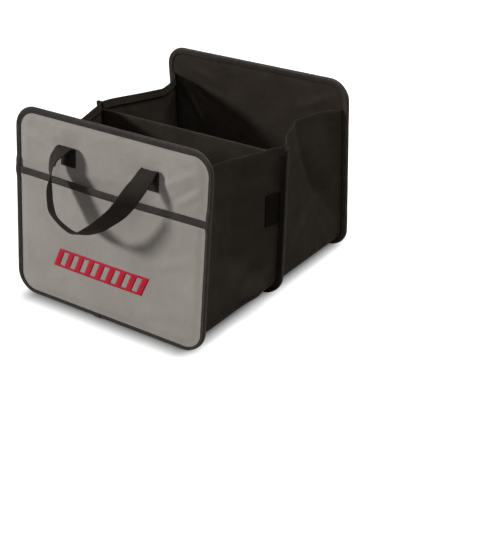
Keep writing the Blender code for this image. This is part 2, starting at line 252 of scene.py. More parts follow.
def make_world():
    """A weak even light, seen as white by the camera."""
    world = bpy.data.worlds.new("studio")
    bpy.context.scene.world = world
    world.use_nodes = True
    tree = world.node_tree
    weak = tree.nodes["Background"]
    set_inputs(tree, weak, {"Color": WORLD_COLOUR, "Strength": WORLD_LEVEL})
    white = add_node(tree, "Background", {"Color": WHITE, "Strength": 1.0})
    camera_ray = add_node(tree, "LightPath", {}).outputs["Is Camera Ray"]
    seen = add_node(
        tree, "MixShader", {0: camera_ray, 1: weak.outputs[0], 2: white.outputs[0]}
    )
    set_inputs(tree, tree.nodes["World Output"], {"Surface": seen.outputs[0]})


def way_out_of_the_box(tree):
    """How far a point of the floor lies outside the box's footprint."""
    place = add_node(tree, "TexCoord", {}).outputs["Object"]
    mirrored = combine_vectors(tree, "ABSOLUTE", place)["Vector"]
    corner = (HALF - PAINTED_HALO_INSET, DEPTH / 2, 0.0)
    beyond = combine_vectors(tree, "SUBTRACT", mirrored, corner)["Vector"]
    outside = combine_vectors(tree, "MAXIMUM", beyond, (0.0, 0.0, 0.0))["Vector"]
    return combine_vectors(tree, "LENGTH", outside)["Value"]


def floor_finish():
    """Grey to the light, white to the camera and reflections, with painted shade near the box."""
    material = bpy.data.materials.new("studio_floor")
    material.use_nodes = True
    tree = material.node_tree
    ray = add_node(tree, "LightPath", {}).outputs
    seen = combine(tree, "MAXIMUM", ray["Is Camera Ray"], ray["Is Glossy Ray"])
    seen = combine(tree, "MAXIMUM", seen, ray["Is Transmission Ray"])
    # the smooth step paints a band of shade round the box, and lets the real shadow show there
    step = add_node(tree, "MapRange", {
        "Value": way_out_of_the_box(tree),
        "From Max": PAINTED_HALO_REACH,
        "To Min": FLOOR_LIFT_IN_PAINTED_HALO,
        "To Max": 1.0,
    })
    step.interpolation_type = "SMOOTHSTEP"
    lift = combine(tree, "MULTIPLY", seen, step.outputs["Result"])
    grey = tree.nodes.new("ShaderNodeMix")
    grey.data_type = "RGBA"
    set_inputs(tree, grey, {0: seen, 6: FLOOR_GREY, 7: FLOOR_GREY_SEEN})
    set_inputs(tree, tree.nodes["Principled BSDF"], {
        "Base Color": grey.outputs[2],
        "Roughness": FLOOR_ROUGHNESS,
        "Emission Color": WHITE,
        "Emission Strength": lift,
    })
    return material


def make_floor():
    bm = bmesh.new()
    bmesh.ops.create_grid(bm, x_segments=1, y_segments=1, size=FLOOR_HALF_SIZE)
    mesh = bpy.data.meshes.new("studio_floor")
    bm.to_mesh(mesh)
    bm.free()
    mesh.materials.append(floor_finish())
    floor = bpy.data.objects.new("studio_floor", mesh)
    floor.location.z = cad_bounds[0][2] - FLOOR_DROP
    bpy.context.scene.collection.objects.link(floor)
    print("floor at a height of", round(floor.location.z, 5), "m")


make_world()
make_floor()

# %% [markdown]
# ## Materials
#
# The organizer has two cloths, two tapes, a board, a hook tape, an ink and a thread. Each
# sheet carries its own flat pattern as a UV map in metres, so a weave keeps its real pitch
# and runs with the cloth round every fold. All of them are built from a few small helpers:
# a new finish in two soft tones, a pattern of threads, and a bump from it.


# %% Material helpers
TONE_RANGE = (0.32, 0.68)
WAVES_PER_TURN = 20


def pattern_place(tree, source="UV", turn=0.0):
    """The flat pattern's coordinates in metres, turned in its own plane."""
    place = add_node(tree, "TexCoord", {}).outputs[source]
    rotation = (0.0, 0.0, turn)
    return add_node(tree, "Mapping", {"Vector": place, "Rotation": rotation}).outputs["Vector"]


def cloudy(tree, place, per_metre, detail):
    """A soft noise with this many clouds to the metre."""
    values = {"Vector": place, "Scale": per_metre, "Detail": detail}
    return add_node(tree, "TexNoise", values).outputs["Fac"]


def ribs(tree, place, pitch, direction):
    """Fine parallel threads at a pitch in metres. A wave's own scale counts 20 per turn."""
    values = {"Vector": place, "Scale": 2 * math.pi / (WAVES_PER_TURN * pitch)}
    wave = add_node(tree, "TexWave", values)
    wave.bands_direction = direction
    return wave.outputs["Fac"]


def woven(tree, place, pitch):
    """Threads that run both ways."""
    return combine(
        tree, "MULTIPLY", ribs(tree, place, pitch, "X"), ribs(tree, place, pitch, "Y")
    )


def two_tone(tree, factor, dark, light):
    """A colour that goes from dark to light over the middle of a noise's range."""
    ramp = add_node(tree, "ValToRGB", {"Fac": factor})
    for stop, position, colour in zip(ramp.color_ramp.elements, TONE_RANGE, (dark, light)):
        stop.position = position
        stop.color = (*colour, 1.0)
    return ramp.outputs["Color"]


def new_finish(name, roughness, specular, clouds, detail, dark, light, source="UV"):
    """A material in two cloudy tones, with its tree, its pattern's place and its clouds."""
    material = bpy.data.materials.new(name)
    material.use_nodes = True
    tree = material.node_tree
    place = pattern_place(tree, source)
    tone = cloudy(tree, place, clouds, detail)
    set_inputs(tree, tree.nodes["Principled BSDF"], {
        "Base Color": two_tone(tree, tone, dark, light),
        "Roughness": roughness,
        "Specular IOR Level": specular,
    })
    return material, tree, place, tone


def raise_by(tree, height, distance):
    """A bump of this real height, in metres, added over any bump that is there."""
    normal = tree.nodes["Principled BSDF"].inputs["Normal"]
    bump = add_node(tree, "Bump", {"Height": height, "Distance": distance, "Strength": 1.0})
    if normal.links:
        tree.links.new(normal.links[0].from_socket, bump.inputs["Normal"])
    tree.links.new(bump.outputs["Normal"], normal)


print("material helpers ready")

# %% [markdown]
# ### The two cloths
#
# The outer cloth is a grey laminated cloth with a satin face: a fine weave under a thin film,
# which wrinkles in shallow dents. The inner cloth is a black non-woven, pressed from fibres in
# a fine diamond of dots, and quite matte. Both get a cloudy change of tone, because no sewn
# cloth is one flat colour.


# %% Grey laminated cloth and black non-woven cloth
def grey_cloth_material():
    material, tree, place, _ = new_finish(
        "grey_laminated_cloth", roughness=0.58, specular=0.22, clouds=14.0, detail=4.0,
        dark=(0.268, 0.243, 0.221), light=(0.303, 0.276, 0.252),
    )
    raise_by(tree, woven(tree, place, pitch=0.0007), distance=0.00005)
    raise_by(tree, cloudy(tree, place, per_metre=45.0, detail=2.0), distance=0.0010)
    raise_by(tree, cloudy(tree, place, per_metre=240.0, detail=3.0), distance=0.00012)
    return material


def black_cloth_material():
    material, tree, place, _ = new_finish(
        "black_nonwoven_cloth", roughness=0.75, specular=0.02, clouds=22.0, detail=5.0,
        dark=(0.0242, 0.0195, 0.0154), light=(0.0316, 0.0258, 0.0206),
    )
    diagonal = pattern_place(tree, turn=math.radians(45))
    raise_by(tree, woven(tree, diagonal, pitch=0.0016), distance=0.00010)
    raise_by(tree, cloudy(tree, place, per_metre=38.0, detail=3.0), distance=0.0016)
    raise_by(tree, cloudy(tree, place, per_metre=900.0, detail=2.0), distance=0.00008)
    return material


grey_cloth = grey_cloth_material()
black_cloth = black_cloth_material()
print("cloths:", grey_cloth.name, black_cloth.name)

# %% [markdown]
# ### Tapes and webbing
#
# The binding is a ribbed tape, with its ribs across its length. The divider's is the same tape
# in black. The handles are heavier webbing, ribbed along and across. The hook-and-loop tape is
# a dark fuzz, which swallows nearly all light.


# %% Tapes and webbing
def binding_tape_material(name, dark, light):
    material, tree, place, _ = new_finish(
        name, roughness=0.70, specular=0.12, clouds=60.0, detail=4.0, dark=dark, light=light
    )
    raise_by(tree, ribs(tree, place, pitch=0.0012, direction="Y"), distance=0.00018)
    raise_by(tree, ribs(tree, place, pitch=0.0005, direction="X"), distance=0.00005)
    raise_by(tree, cloudy(tree, place, per_metre=220.0, detail=2.0), distance=0.00025)
    return material


def webbing_material():
    material, tree, place, _ = new_finish(
        "black_webbing", roughness=0.65, specular=0.06, clouds=50.0, detail=4.0,
        dark=(0.0190, 0.0150, 0.0122), light=(0.0250, 0.0202, 0.0166),
    )
    across = ribs(tree, place, pitch=0.0030, direction="X")
    along = ribs(tree, place, pitch=0.0014, direction="Y")
    raise_by(tree, combine(tree, "ADD", across, along), distance=0.00016)
    raise_by(tree, cloudy(tree, place, per_metre=500.0, detail=2.0), distance=0.00010)
    return material


def hook_tape_material():
    material, tree, _, fuzz = new_finish(
        "hook_and_loop_tape", roughness=0.95, specular=0.04, clouds=2600.0, detail=4.0,
        dark=(0.0045, 0.0034, 0.0024), light=(0.0125, 0.0095, 0.0068),
    )
    raise_by(tree, fuzz, distance=0.0008)
    return material


binding_tape = binding_tape_material(
    "ribbed_binding_tape", (0.027, 0.0221, 0.0186), (0.041, 0.0342, 0.0290)
)
black_tape = binding_tape_material(
    "black_binding_tape", (0.0105, 0.0082, 0.0062), (0.0165, 0.0130, 0.0100)
)
webbing = webbing_material()
hook_tape = hook_tape_material()
print("tapes:", binding_tape.name, black_tape.name, webbing.name, hook_tape.name)

# %% [markdown]
# ### Board, ink and thread
#
# The boards are hidden inside, and still get a pressed grey card, grained in all directions.
# The ink is a thin satin red that lets a trace of the cloth's grain through. The thread is
# black polyester, too fine to need a bump.


# %% Board, ink and thread
def board_material():
    material, tree, _, grain = new_finish(
        "pressed_grey_card", roughness=0.85, specular=0.3, clouds=180.0, detail=6.0,
        dark=(0.42, 0.40, 0.37), light=(0.60, 0.58, 0.54), source="Object",
    )
    raise_by(tree, grain, distance=0.00015)
    return material


def red_ink_material():
    material, tree, _, grain = new_finish(
        "red_ink", roughness=0.55, specular=0.15, clouds=500.0, detail=3.0,
        dark=(0.36, 0.008, 0.024), light=(0.42, 0.011, 0.030),
    )
    raise_by(tree, grain, distance=0.00006)
    return material


def thread_material():
    return new_finish(
        "polyester_thread", roughness=0.6, specular=0.15, clouds=900.0, detail=2.0,
        dark=(0.016, 0.0128, 0.0100), light=(0.026, 0.0210, 0.0165), source="Object",
    )[0]


board_card = board_material()
red_ink = red_ink_material()
thread = thread_material()
print("materials:", len(bpy.data.materials))

# %% [markdown]
# ## How every sheet is made
#
# A sheet of cloth could be drawn face by face, or sculpted. Here it is cut and then placed, as
# a sewer does: an operator makes a flat grid, its lines become the flat pattern in metres, and
# one function says where each point of the pattern goes. The pattern stays on the sheet as its
# UV map, and a Solidify modifier gives the cloth its thickness to both sides.


# %% Cutting a sheet
def spread(start, end, steps):
    """Pattern lines from start to end, without the end itself."""
    return [start + (end - start) * step / steps for step in range(steps)]


def add_piece(name, mesh, material, replaced=()):
    """A finished piece that stands for the named solids and moves with the part."""
    mesh.materials.append(material)
    obj = bpy.data.objects.new(name, mesh)
    bpy.context.scene.collection.objects.link(obj)
    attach(obj, "root")
    if replaced:
        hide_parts(*replaced)
    print(name, len(mesh.polygons), "faces")
    return obj


def cut_cloth(name, across, along, shape, thickness, material, replaced=()):
    """A sheet whose pattern lines are across and along; shape(a, b) places each point."""
    columns = len(across) - 1
    rows = len(along) - 1
    bm = bmesh.new()
    flat = bm.loops.layers.uv.new("flat_pattern")
    bmesh.ops.create_grid(bm, x_segments=columns, y_segments=rows, size=1.0)
    for face in bm.faces:
        for loop in face.loops:
            column = round((loop.vert.co.x + 1) / 2 * columns)
            row = round((loop.vert.co.y + 1) / 2 * rows)
            loop[flat].uv = (across[column], along[row])
    for vertex in bm.verts:
        column = round((vertex.co.x + 1) / 2 * columns)
        row = round((vertex.co.y + 1) / 2 * rows)
        vertex.co = shape(across[column], along[row])
    mesh = bpy.data.meshes.new(name)
    bm.to_mesh(mesh)
    bm.free()
    mesh.shade_smooth()
    obj = add_piece(name, mesh, material, replaced)
    solidify = obj.modifiers.new("thickness", "SOLIDIFY")
    solidify.thickness = thickness
    solidify.offset = 0.0
    solidify.use_even_offset = True
    return obj


def soft_step(value):
    """0 up to 0, 1 from 1, and a smooth climb between."""
    value = min(max(value, 0.0), 1.0)
    return value * value * (3 - 2 * value)


def wave_of_cloth(x, z, size, seed):
    """A slow, even undulation between about -1 and 1, with waves of a size in metres."""
    return noise.noise(Vector((x / size, z / size, seed)))


# %% [markdown]
# ## The rim that all the panels share
#
# Both panels are rounded rectangles, and the divider and the cloth bands follow the same rim
# down one side, along the bottom and up the other. One function walks that rim as a turtle
# would: straight, round a corner, straight again. It gives the edge point and the direction
# that points out of the panel, and each piece then steps in from there by its own inset.


# %% Walking the rim
CORNER_LENGTH = math.pi / 2 * CORNER_RADIUS
BASE_LENGTH = WIDTH - 2 * CORNER_RADIUS
SIDE_LENGTH = PANEL_HEIGHT - 2 * CORNER_RADIUS


def walk_rim(distance, top):
    """Edge point and outward direction after a walk that starts at (left edge, top)."""
    spot = Vector((-HALF, top))
    heading = -math.pi / 2
    side = top - CORNER_RADIUS
    for straight in (side, BASE_LENGTH, side, BASE_LENGTH):
        ahead = Vector((math.cos(heading), math.sin(heading)))
        step = min(distance, straight)
        spot = spot + ahead * step
        distance -= step
        if distance <= 0:
            break
        turn = min(distance, CORNER_LENGTH)
        left = Vector((-ahead.y, ahead.x))
        centre = spot + left * CORNER_RADIUS
        heading += turn / CORNER_RADIUS
        spot = centre + Vector((math.sin(heading), -math.cos(heading))) * CORNER_RADIUS
        distance -= turn
        if distance <= 0:
            break
    return spot, Vector((math.sin(heading), -math.cos(heading)))


PANEL_RIM_TOP = PANEL_HEIGHT - CORNER_RADIUS
PANEL_RIM_LENGTH = 2 * SIDE_LENGTH + 2 * BASE_LENGTH + 4 * CORNER_LENGTH


def rim_depth(x, z):
    """How far a point of a panel lies inside the panel's edge."""
    core_x = abs(x) - (HALF - CORNER_RADIUS)
    core_z = abs(z - PANEL_HEIGHT / 2) - (PANEL_HEIGHT / 2 - CORNER_RADIUS)
    outside = math.hypot(max(core_x, 0.0), max(core_z, 0.0))
    return CORNER_RADIUS - outside - min(max(core_x, core_z), 0.0)


def half_width_at(z, inset, low_only=False):
    """Half the width of a sheet with this inset, at a height in its rounded corners."""
    radius = CORNER_RADIUS - inset
    drop = max(0.0, inset + radius - z)
    if not low_only:
        drop = max(drop, z - (PANEL_HEIGHT - inset - radius))
    return HALF - inset - radius + math.sqrt(max(0.0, radius**2 - drop**2))


print("rim of a panel:", round(PANEL_RIM_LENGTH, 4), "m")

# %% [markdown]
# The divider's right seam is sewn loosely: the tape and both walls stand a few millimetres
# outside the card there, more towards the top. One function gives that distance, and every
# sheet that meets the seam adds it, so the sheets stay together.

# %% The loose seam
SEAM_FLARE = 0.0095
SEAM_REACH = 0.030


def seam_flare(x, z, reach):
    """How far the right seam stands outside the card, fading inwards over a reach."""
    if x <= 0:
        return 0.0
    rise = min(max(z / SIDE_HEIGHT, 0.0), 1.0) ** 0.7
    return SEAM_FLARE * rise * soft_step((x - HALF + reach) / reach)


print("loose seam at the top:", round(1000 * seam_flare(HALF, SIDE_HEIGHT, SEAM_REACH), 1), "mm")

# %% [markdown]
# ## Wrinkles
#
# Sewn cloth wrinkles in a few long, shallow creases that start where it is held and die out.
# A noise alone would dent it evenly, and a simulation would move it away from its seams. So
# each sheet gets a short list of creases, as (start, end, width, height) on its own flat
# pattern, over a slow undulation.


# %% Listed creases
def creased(x, z, creases):
    """The height that a list of soft creases gives to a point of a sheet."""
    height = 0.0
    spot = Vector((x, z))
    for start, end, width, rise in creases:
        run = Vector(end) - Vector(start)
        share = (spot - Vector(start)).dot(run) / run.length_squared
        if not 0.0 < share < 1.0:
            continue
        away = (spot - Vector(start) - run * share).length / width
        height += rise * (1 - soft_step(away)) * math.sin(math.pi * share)
    return height


print("a crease of 2 mm at its middle:", creased(0.05, 0.0, [((0, 0), (0.1, 0), 0.01, 0.002)]))

# %% [markdown]
# ## The panels' cloth
#
# Each panel is a card with cloth on both faces. The cloth isn't glued: it puffs up a little
# beside the binding, and lies pressed down where a handle is sewn through it. That puff is
# what catches the light as a thin bright line under the top binding.

# %% Creases of the panels' cloth
FRONT_CREASES = [
    ((0.190, 0.300), (0.075, 0.235), 0.011, 0.0011),
    ((0.192, 0.285), (0.105, 0.222), 0.008, -0.0009),
    ((0.188, 0.268), (0.125, 0.222), 0.008, 0.0010),
    ((0.190, 0.248), (0.140, 0.215), 0.006, 0.0007),
    ((-0.100, 0.318), (-0.090, 0.262), 0.012, 0.0010),
    ((-0.185, 0.306), (-0.110, 0.268), 0.010, -0.0008),
    ((-0.188, 0.285), (-0.120, 0.262), 0.009, 0.0008),
    ((-0.030, 0.312), (0.050, 0.262), 0.016, 0.0007),
]
REAR_COVER_CREASES = [
    ((-0.180, 0.300), (-0.060, 0.200), 0.014, 0.0010),
    ((0.180, 0.290), (0.090, 0.170), 0.014, 0.0009),
    ((0.175, 0.030), (0.080, 0.120), 0.015, 0.0010),
    ((-0.170, 0.040), (-0.050, 0.100), 0.014, -0.0008),
    ((0.020, 0.310), (0.000, 0.180), 0.016, 0.0007),
]
REAR_LINING_CREASES = [
    ((0.180, 0.306), (0.060, 0.262), 0.012, 0.0016),
    ((0.176, 0.290), (0.090, 0.222), 0.010, -0.0012),
    ((0.170, 0.268), (0.110, 0.170), 0.010, 0.0014),
    ((-0.120, 0.215), (-0.186, 0.222), 0.003, 0.0010),
    ((-0.180, 0.300), (-0.080, 0.250), 0.012, 0.0012),
    ((-0.150, 0.060), (-0.040, 0.110), 0.014, 0.0012),
]
FRONT_LINING_CREASES = [
    ((-0.170, 0.300), (-0.050, 0.240), 0.012, 0.0014),
    ((0.170, 0.290), (0.080, 0.200), 0.012, 0.0012),
    ((0.100, 0.050), (0.020, 0.120), 0.014, -0.0010),
]
print("creases on the front cover:", len(FRONT_CREASES))

# %% [markdown]
# Each of the four sheets is cut a little smaller than its panel, so that the binding can wrap
# it, and its rounded corners follow the panel's. The creases and the puff fade out where the
# pocket, a handle or the binding holds the cloth down.

# %% Cover cloths and linings
PUFF = 0.0011
PUFF_REACH = 0.010
PANEL_ROLL = 0.00055
PANEL_WAVE = 0.085
ROLL_START = 0.002
ROLL_REACH = 0.018
HANDLE_SPREAD = 0.082
HANDLE_WIDTH = 0.030
HANDLE_SEWN_LOW = 0.243
HANDLE_FOLD = 0.272
HANDLE_PRESS_REACH = 0.020
POCKET_HEIGHT = 0.2192
POCKET_CLEARANCE = 0.004
PANEL_COLUMNS = 96
PANEL_ROWS = 84


def pressed_by_handle(x, z):
    """0 where a handle is sewn down, and 1 from a little further away."""
    sideways = max(0.0, abs(abs(x) - HANDLE_SPREAD) - HANDLE_WIDTH / 2)
    upwards = max(0.0, HANDLE_SEWN_LOW - z, z - HANDLE_FOLD)
    return soft_step((math.hypot(sideways, upwards) - ROLL_START) / HANDLE_PRESS_REACH)


def cloth_rise(x, z, creases, seed):
    """How far a panel's cloth stands off its card, away from its held edges."""
    inside = rim_depth(x, z) - TAPE_WIDTH
    puff = PUFF * soft_step(inside / PUFF_REACH)
    roll = PANEL_ROLL * wave_of_cloth(x, z, PANEL_WAVE, seed) + creased(x, z, creases)
    return max(0.0, puff + roll * soft_step((inside - ROLL_START) / ROLL_REACH))


def panel_sheet(cad_name, matrix, side, rise, material):
    """A cloth over one whole face of a panel. side is -1 outside and 1 inside."""
    across = spread(-HALF + EDGE_INSET, HALF - EDGE_INSET, PANEL_COLUMNS)
    across.append(HALF - EDGE_INSET)
    up = spread(EDGE_INSET, PANEL_HEIGHT - EDGE_INSET, PANEL_ROWS)
    up.append(PANEL_HEIGHT - EDGE_INSET)

    def shape(a, b):
        x = a * half_width_at(b, EDGE_INSET) / (HALF - EDGE_INSET)
        return matrix @ Vector((x, side * (COVER_MIDDLE + rise(x, b)), b))

    sheet = cut_cloth(cad_name + "_cloth", across, up, shape, CLOTH, material, [cad_name])


def front_cover_rise(x, z):
    free = soft_step((z - POCKET_HEIGHT - POCKET_CLEARANCE) / ROLL_REACH)
    return cloth_rise(x, z, FRONT_CREASES, 1.0) * free * pressed_by_handle(x, z)


def rear_cover_rise(x, z):
    return cloth_rise(x, z, REAR_COVER_CREASES, 5.0) * pressed_by_handle(x, z)


def rear_lining_rise(x, z):
    return cloth_rise(x, z, REAR_LINING_CREASES, 9.0)


def front_lining_rise(x, z):
    return cloth_rise(x, z, FRONT_LINING_CREASES, 13.0)


panel_sheet("front_cover", FRONT, -1, front_cover_rise, grey_cloth)
panel_sheet("rear_cover", REAR, -1, rear_cover_rise, grey_cloth)
panel_sheet("front_lining", FRONT, 1, front_lining_rise, black_cloth)
panel_sheet("rear_lining", REAR, 1, rear_lining_rise, black_cloth)

# %% [markdown]
# ## The front pocket
#
# The pocket is a second grey cloth over the lower two thirds of the front, sewn in at the
# sides and the bottom. It is empty, so it only stands off by its slack. Its mouth is bound
# with a straight tape, and where the pocket starts to carry that tape it lifts off the cover.

# %% Pocket cloth
POCKET_SLACK = 0.0055
POCKET_TAPE_WIDTH = 0.0100
POCKET_LIFT_BAND = 0.022
POCKET_PUFF = 0.0010
POCKET_ROLL = 0.0006
POCKET_WAVE = 0.095
POCKET_ROLL_START = 0.001
POCKET_ROLL_REACH = 0.022
POCKET_COLUMNS = 96
POCKET_CREASES = [
    ((0.175, 0.150), (0.090, 0.120), 0.016, 0.0008),
    ((0.150, 0.060), (0.060, 0.030), 0.018, 0.0007),
    ((-0.170, 0.170), (-0.090, 0.110), 0.018, 0.0007),
    ((-0.150, 0.050), (-0.050, 0.090), 0.018, -0.0006),
    ((0.030, 0.150), (0.070, 0.060), 0.022, 0.0007),
]


def pocket_middle(x, z):
    """Distance of the pocket cloth's middle from the middle of the card."""
    ramp = (z - POCKET_HEIGHT + POCKET_LIFT_BAND) / (POCKET_LIFT_BAND - POCKET_TAPE_WIDTH)
    lift = GAP + (TAPE + GAP) * soft_step(ramp)
    sideways = math.cos(math.pi / 2 * min(1.0, abs(x) / (HALF - TAPE_WIDTH))) ** 2
    upwards = soft_step((z - TAPE_WIDTH) / (POCKET_HEIGHT - TAPE_WIDTH))
    slack = POCKET_SLACK * sideways * upwards
    inside = min(rim_depth(x, z) - TAPE_WIDTH, POCKET_HEIGHT - POCKET_TAPE_WIDTH - z)
    roll = POCKET_ROLL * wave_of_cloth(x, z, POCKET_WAVE, 3.0) + creased(x, z, POCKET_CREASES)
    held = soft_step((inside - POCKET_ROLL_START) / POCKET_ROLL_REACH)
    puff = POCKET_PUFF * soft_step(inside / PUFF_REACH)
    return FACE + lift + CLOTH / 2 + slack + max(0.0, puff + roll * held)


def make_pocket():
    up = spread(EDGE_INSET, POCKET_HEIGHT - POCKET_LIFT_BAND, 52)
    up += spread(POCKET_HEIGHT - POCKET_LIFT_BAND, POCKET_HEIGHT, 10) + [POCKET_HEIGHT]
    across = spread(-HALF + EDGE_INSET, HALF - EDGE_INSET, POCKET_COLUMNS)
    across.append(HALF - EDGE_INSET)

    def shape(a, b):
        x = a * half_width_at(b, EDGE_INSET, low_only=True) / (HALF - EDGE_INSET)
        return FRONT @ Vector((x, -pocket_middle(x, b), b))

    pocket = cut_cloth("front_pocket_cloth", across, up, shape, CLOTH,
                       grey_cloth, ["front_pocket"])


make_pocket()
pocket_reach = pocket_middle(0.0, POCKET_HEIGHT) - FACE
print("pocket stands off by up to", round(1000 * pocket_reach, 1), "mm")

# %% [markdown]
# The tape on the mouth is folded over the pocket's upper edge. It rides on the pocket's own
# surface, with one leg in front, a round fold on top and one leg behind.


# %% Tape on the pocket's mouth
MOUTH_SWELL = 0.0003


def make_pocket_tape():
    """Tape folded over the mouth, with a rounded fold and a stitched lower edge."""
    half = HALF - EDGE_INSET
    reach = CLOTH / 2 + GAP + TAPE / 2
    leg = POCKET_TAPE_WIDTH
    turn = math.pi * reach
    width = 2 * leg + turn
    across = spread(-half, half, POCKET_COLUMNS) + [half]
    over = spread(0.0, leg, 6) + spread(leg, leg + turn, 6) + spread(leg + turn, width, 6)
    over.append(width)

    def shape(a, b):
        if b < leg:
            z, out = POCKET_HEIGHT - leg + b, reach + MOUTH_SWELL * math.sin(math.pi * b / leg)
        elif b < leg + turn:
            angle = (b - leg) / reach
            z, out = POCKET_HEIGHT + math.sin(angle) * reach, reach * math.cos(angle)
        else:
            z, out = POCKET_HEIGHT - (b - leg - turn), -reach
        return FRONT @ Vector((a, -pocket_middle(a, min(z, POCKET_HEIGHT)) - out, z))

    tape = cut_cloth("front_pocket_tape", across, over, shape, TAPE,
                     binding_tape, ["front_pocket_binding"])


make_pocket_tape()

# %% [markdown]
# ## Binding tape round the edges
#
# The binding is a ribbed tape folded over the edge and sewn through. Between the stitches and
# the fold it puffs up, it puckers a little along its length, and it gathers in small radial
# pleats round the corners. A bevelled curve would give a round cord instead of a folded tape,
# so the tape is cut as a flat strip and wrapped: outer leg, rounded fold, inner leg. Its two
# ends overlap near the middle of the bottom edge, where the sewer started.

# %% How a folded tape lies
FOLD_CENTRE = 0.0030
TAPE_FOLD = 0.0080
TAPE_STEP = 0.0030
TAPE_PUFF = 0.0007
TAPE_PUFF_START = 0.30
STITCH_INSET = 0.0078
TAPE_WANDER = 0.0002
TAPE_WAVE = 0.03
PUCKER_HEIGHT = 0.00016
PUCKERS_PER_METRE = 170
SLOW_HEIGHT = 0.00012
SLOW_PER_METRE = 30
GATHER_HEIGHT = 0.00022
GATHERS = 9
SIDE_STAND_OUT = 0.0022
DIVIDER_SLIM = 1.4
SLIM_AT_RIGHT = 0.36
SLIM_BELOW = 0.30


def tape_profile(b, leg, turn, base):
    """Inset from the edge, and distance from the card, at b across the folded tape."""
    over = leg + turn / 2 - abs(b - leg - turn / 2)
    side = 1.0 if b < leg + turn / 2 else -1.0
    if over < leg:
        inset = TAPE_WIDTH - (TAPE_WIDTH - FOLD_CENTRE) * over / leg
        share = (over / leg - TAPE_PUFF_START) / (1 - TAPE_PUFF_START)
        return inset, side * (base + TAPE_PUFF * soft_step(share)), soft_step(share)
    angle = (over - leg) / (turn / 2) * math.pi / 2
    inset = FOLD_CENTRE - (FOLD_CENTRE - TAPE / 2) * math.sin(angle)
    return inset, side * (base + TAPE_PUFF) * math.cos(angle), 1.0


def face_share(outward, slim):
    """The share of the full face width that shows; slim tape is narrow right and below."""
    at_right = SLIM_AT_RIGHT * max(0.0, outward.x)
    return 1 - slim * (at_right + SLIM_BELOW * max(0.0, -outward.y))


def tape_texture(distance, loose, cornered):
    """Puckers along the tape, and radial gathers round its corners."""
    puckers = noise.noise(Vector((distance * PUCKERS_PER_METRE, 0.0, 2.0)))
    slow = noise.noise(Vector((distance * SLOW_PER_METRE, 0.0, 7.0)))
    gathers = math.sin(distance / CORNER_LENGTH * 2 * math.pi * GATHERS)
    height = PUCKER_HEIGHT * puckers + SLOW_HEIGHT * slow
    return loose * (height + GATHER_HEIGHT * gathers * cornered)


def stand_aside(spot, outward, closed, slim):
    """A rim's spot moved sideways: a panel's tape stands out, the divider's follows its seam."""
    if closed:
        spot.x += SIDE_STAND_OUT * slim * outward.x
    else:
        spot.x += seam_flare(spot.x, spot.y, SEAM_REACH)
    return spot


print("tape as seen on a panel's face:", round(1000 * TAPE_WIDTH, 1), "mm")

# %% [markdown]
# The same cut serves all three rims. The panels' tapes run once round and overlap, and the
# divider's is open at the top. Where the front tape crosses the pocket, its outer leg lies on
# the pocket's cloth and climbs over the tape on the mouth.


# %% Tape round each rim
CLIMB_REACH = 1.6
TAPE_JOIN_SHARE = 0.42
TAPE_OVERLAP = 0.014


def bound_edge(name, matrix, start, length, top, base_at, material, closed, slim=0.0):
    """Tape folded over a rim, from a start distance on."""
    cad_name = name.removesuffix("_tape")
    leg = TAPE_WIDTH - FOLD_CENTRE
    turn = TAPE_FOLD
    width = 2 * leg + turn
    over = spread(0.0, leg, 6) + spread(leg, leg + turn, 8)
    over += spread(leg + turn, width, 6) + [width]
    along = spread(0.0, length, round(length / TAPE_STEP)) + [length]

    def shape(b, a):
        distance = start + a
        if closed:
            distance %= PANEL_RIM_LENGTH
        edge, outward = walk_rim(distance, top)
        cornered = soft_step(4 * abs(outward.x * outward.y))
        rough = base_at(edge.y) if b < width / 2 else INNER_LEG
        inset, out, loose = tape_profile(b, leg, turn, rough)
        inset *= face_share(outward, slim)
        texture = tape_texture(start + a, loose, cornered)
        out += math.copysign(texture, out)
        overlap = 0.0
        if closed:
            overlap = TAPE * soft_step((a - PANEL_RIM_LENGTH) / TAPE_STEP)
        inset += TAPE_WANDER * wave_of_cloth(distance, 0.0, TAPE_WAVE, 4.0)
        spot = edge - outward * inset
        spot = stand_aside(spot + outward * overlap, outward, closed, slim)
        return matrix @ Vector((spot.x, -out - math.copysign(overlap, out), spot.y))

    tape = cut_cloth(name, over, along, shape, TAPE, material, [cad_name])


def over_cover(z):
    return INNER_LEG


def over_pocket(z):
    """The outer leg lies on the pocket, climbs over the mouth's tape and comes down again."""
    step = soft_step((POCKET_HEIGHT + 2 * TAPE_WIDTH - z) / TAPE_WIDTH)
    low = min(z, POCKET_HEIGHT)
    on_pocket = pocket_middle(HALF, low) + CLOTH / 2 + GAP + TAPE / 2
    mouth = POCKET_HEIGHT - POCKET_TAPE_WIDTH / 2
    climb = soft_step(CLIMB_REACH - abs(z - mouth) / (POCKET_TAPE_WIDTH / 2))
    return INNER_LEG + (on_pocket - INNER_LEG) * step + (TAPE + GAP) * climb


TAPE_JOIN = SIDE_LENGTH + CORNER_LENGTH + TAPE_JOIN_SHARE * BASE_LENGTH
tape_length = PANEL_RIM_LENGTH + TAPE_OVERLAP
divider_rim = 2 * (SIDE_HEIGHT - CORNER_RADIUS) + 2 * CORNER_LENGTH + BASE_LENGTH
bound_edge("front_binding_tape", FRONT, TAPE_JOIN, tape_length,
           PANEL_RIM_TOP, over_pocket, binding_tape, True, 1.0)
bound_edge("rear_binding_tape", REAR, TAPE_JOIN, tape_length,
           PANEL_RIM_TOP, over_cover, binding_tape, True)
bound_edge("divider_binding_tape", DIVIDER, 0.0, divider_rim,
           SIDE_HEIGHT, over_cover, black_tape, False, DIVIDER_SLIM)
print("tape round a panel:", round(tape_length, 3), "m")

# %% [markdown]
# ## The divider's cloth
#
# One black cloth covers both faces of the divider's card and runs over its top edge, so the
# top is a soft fold and not a cut edge. The cloth's pattern is one long strip: up the front
# face, over the fold, down the back face.

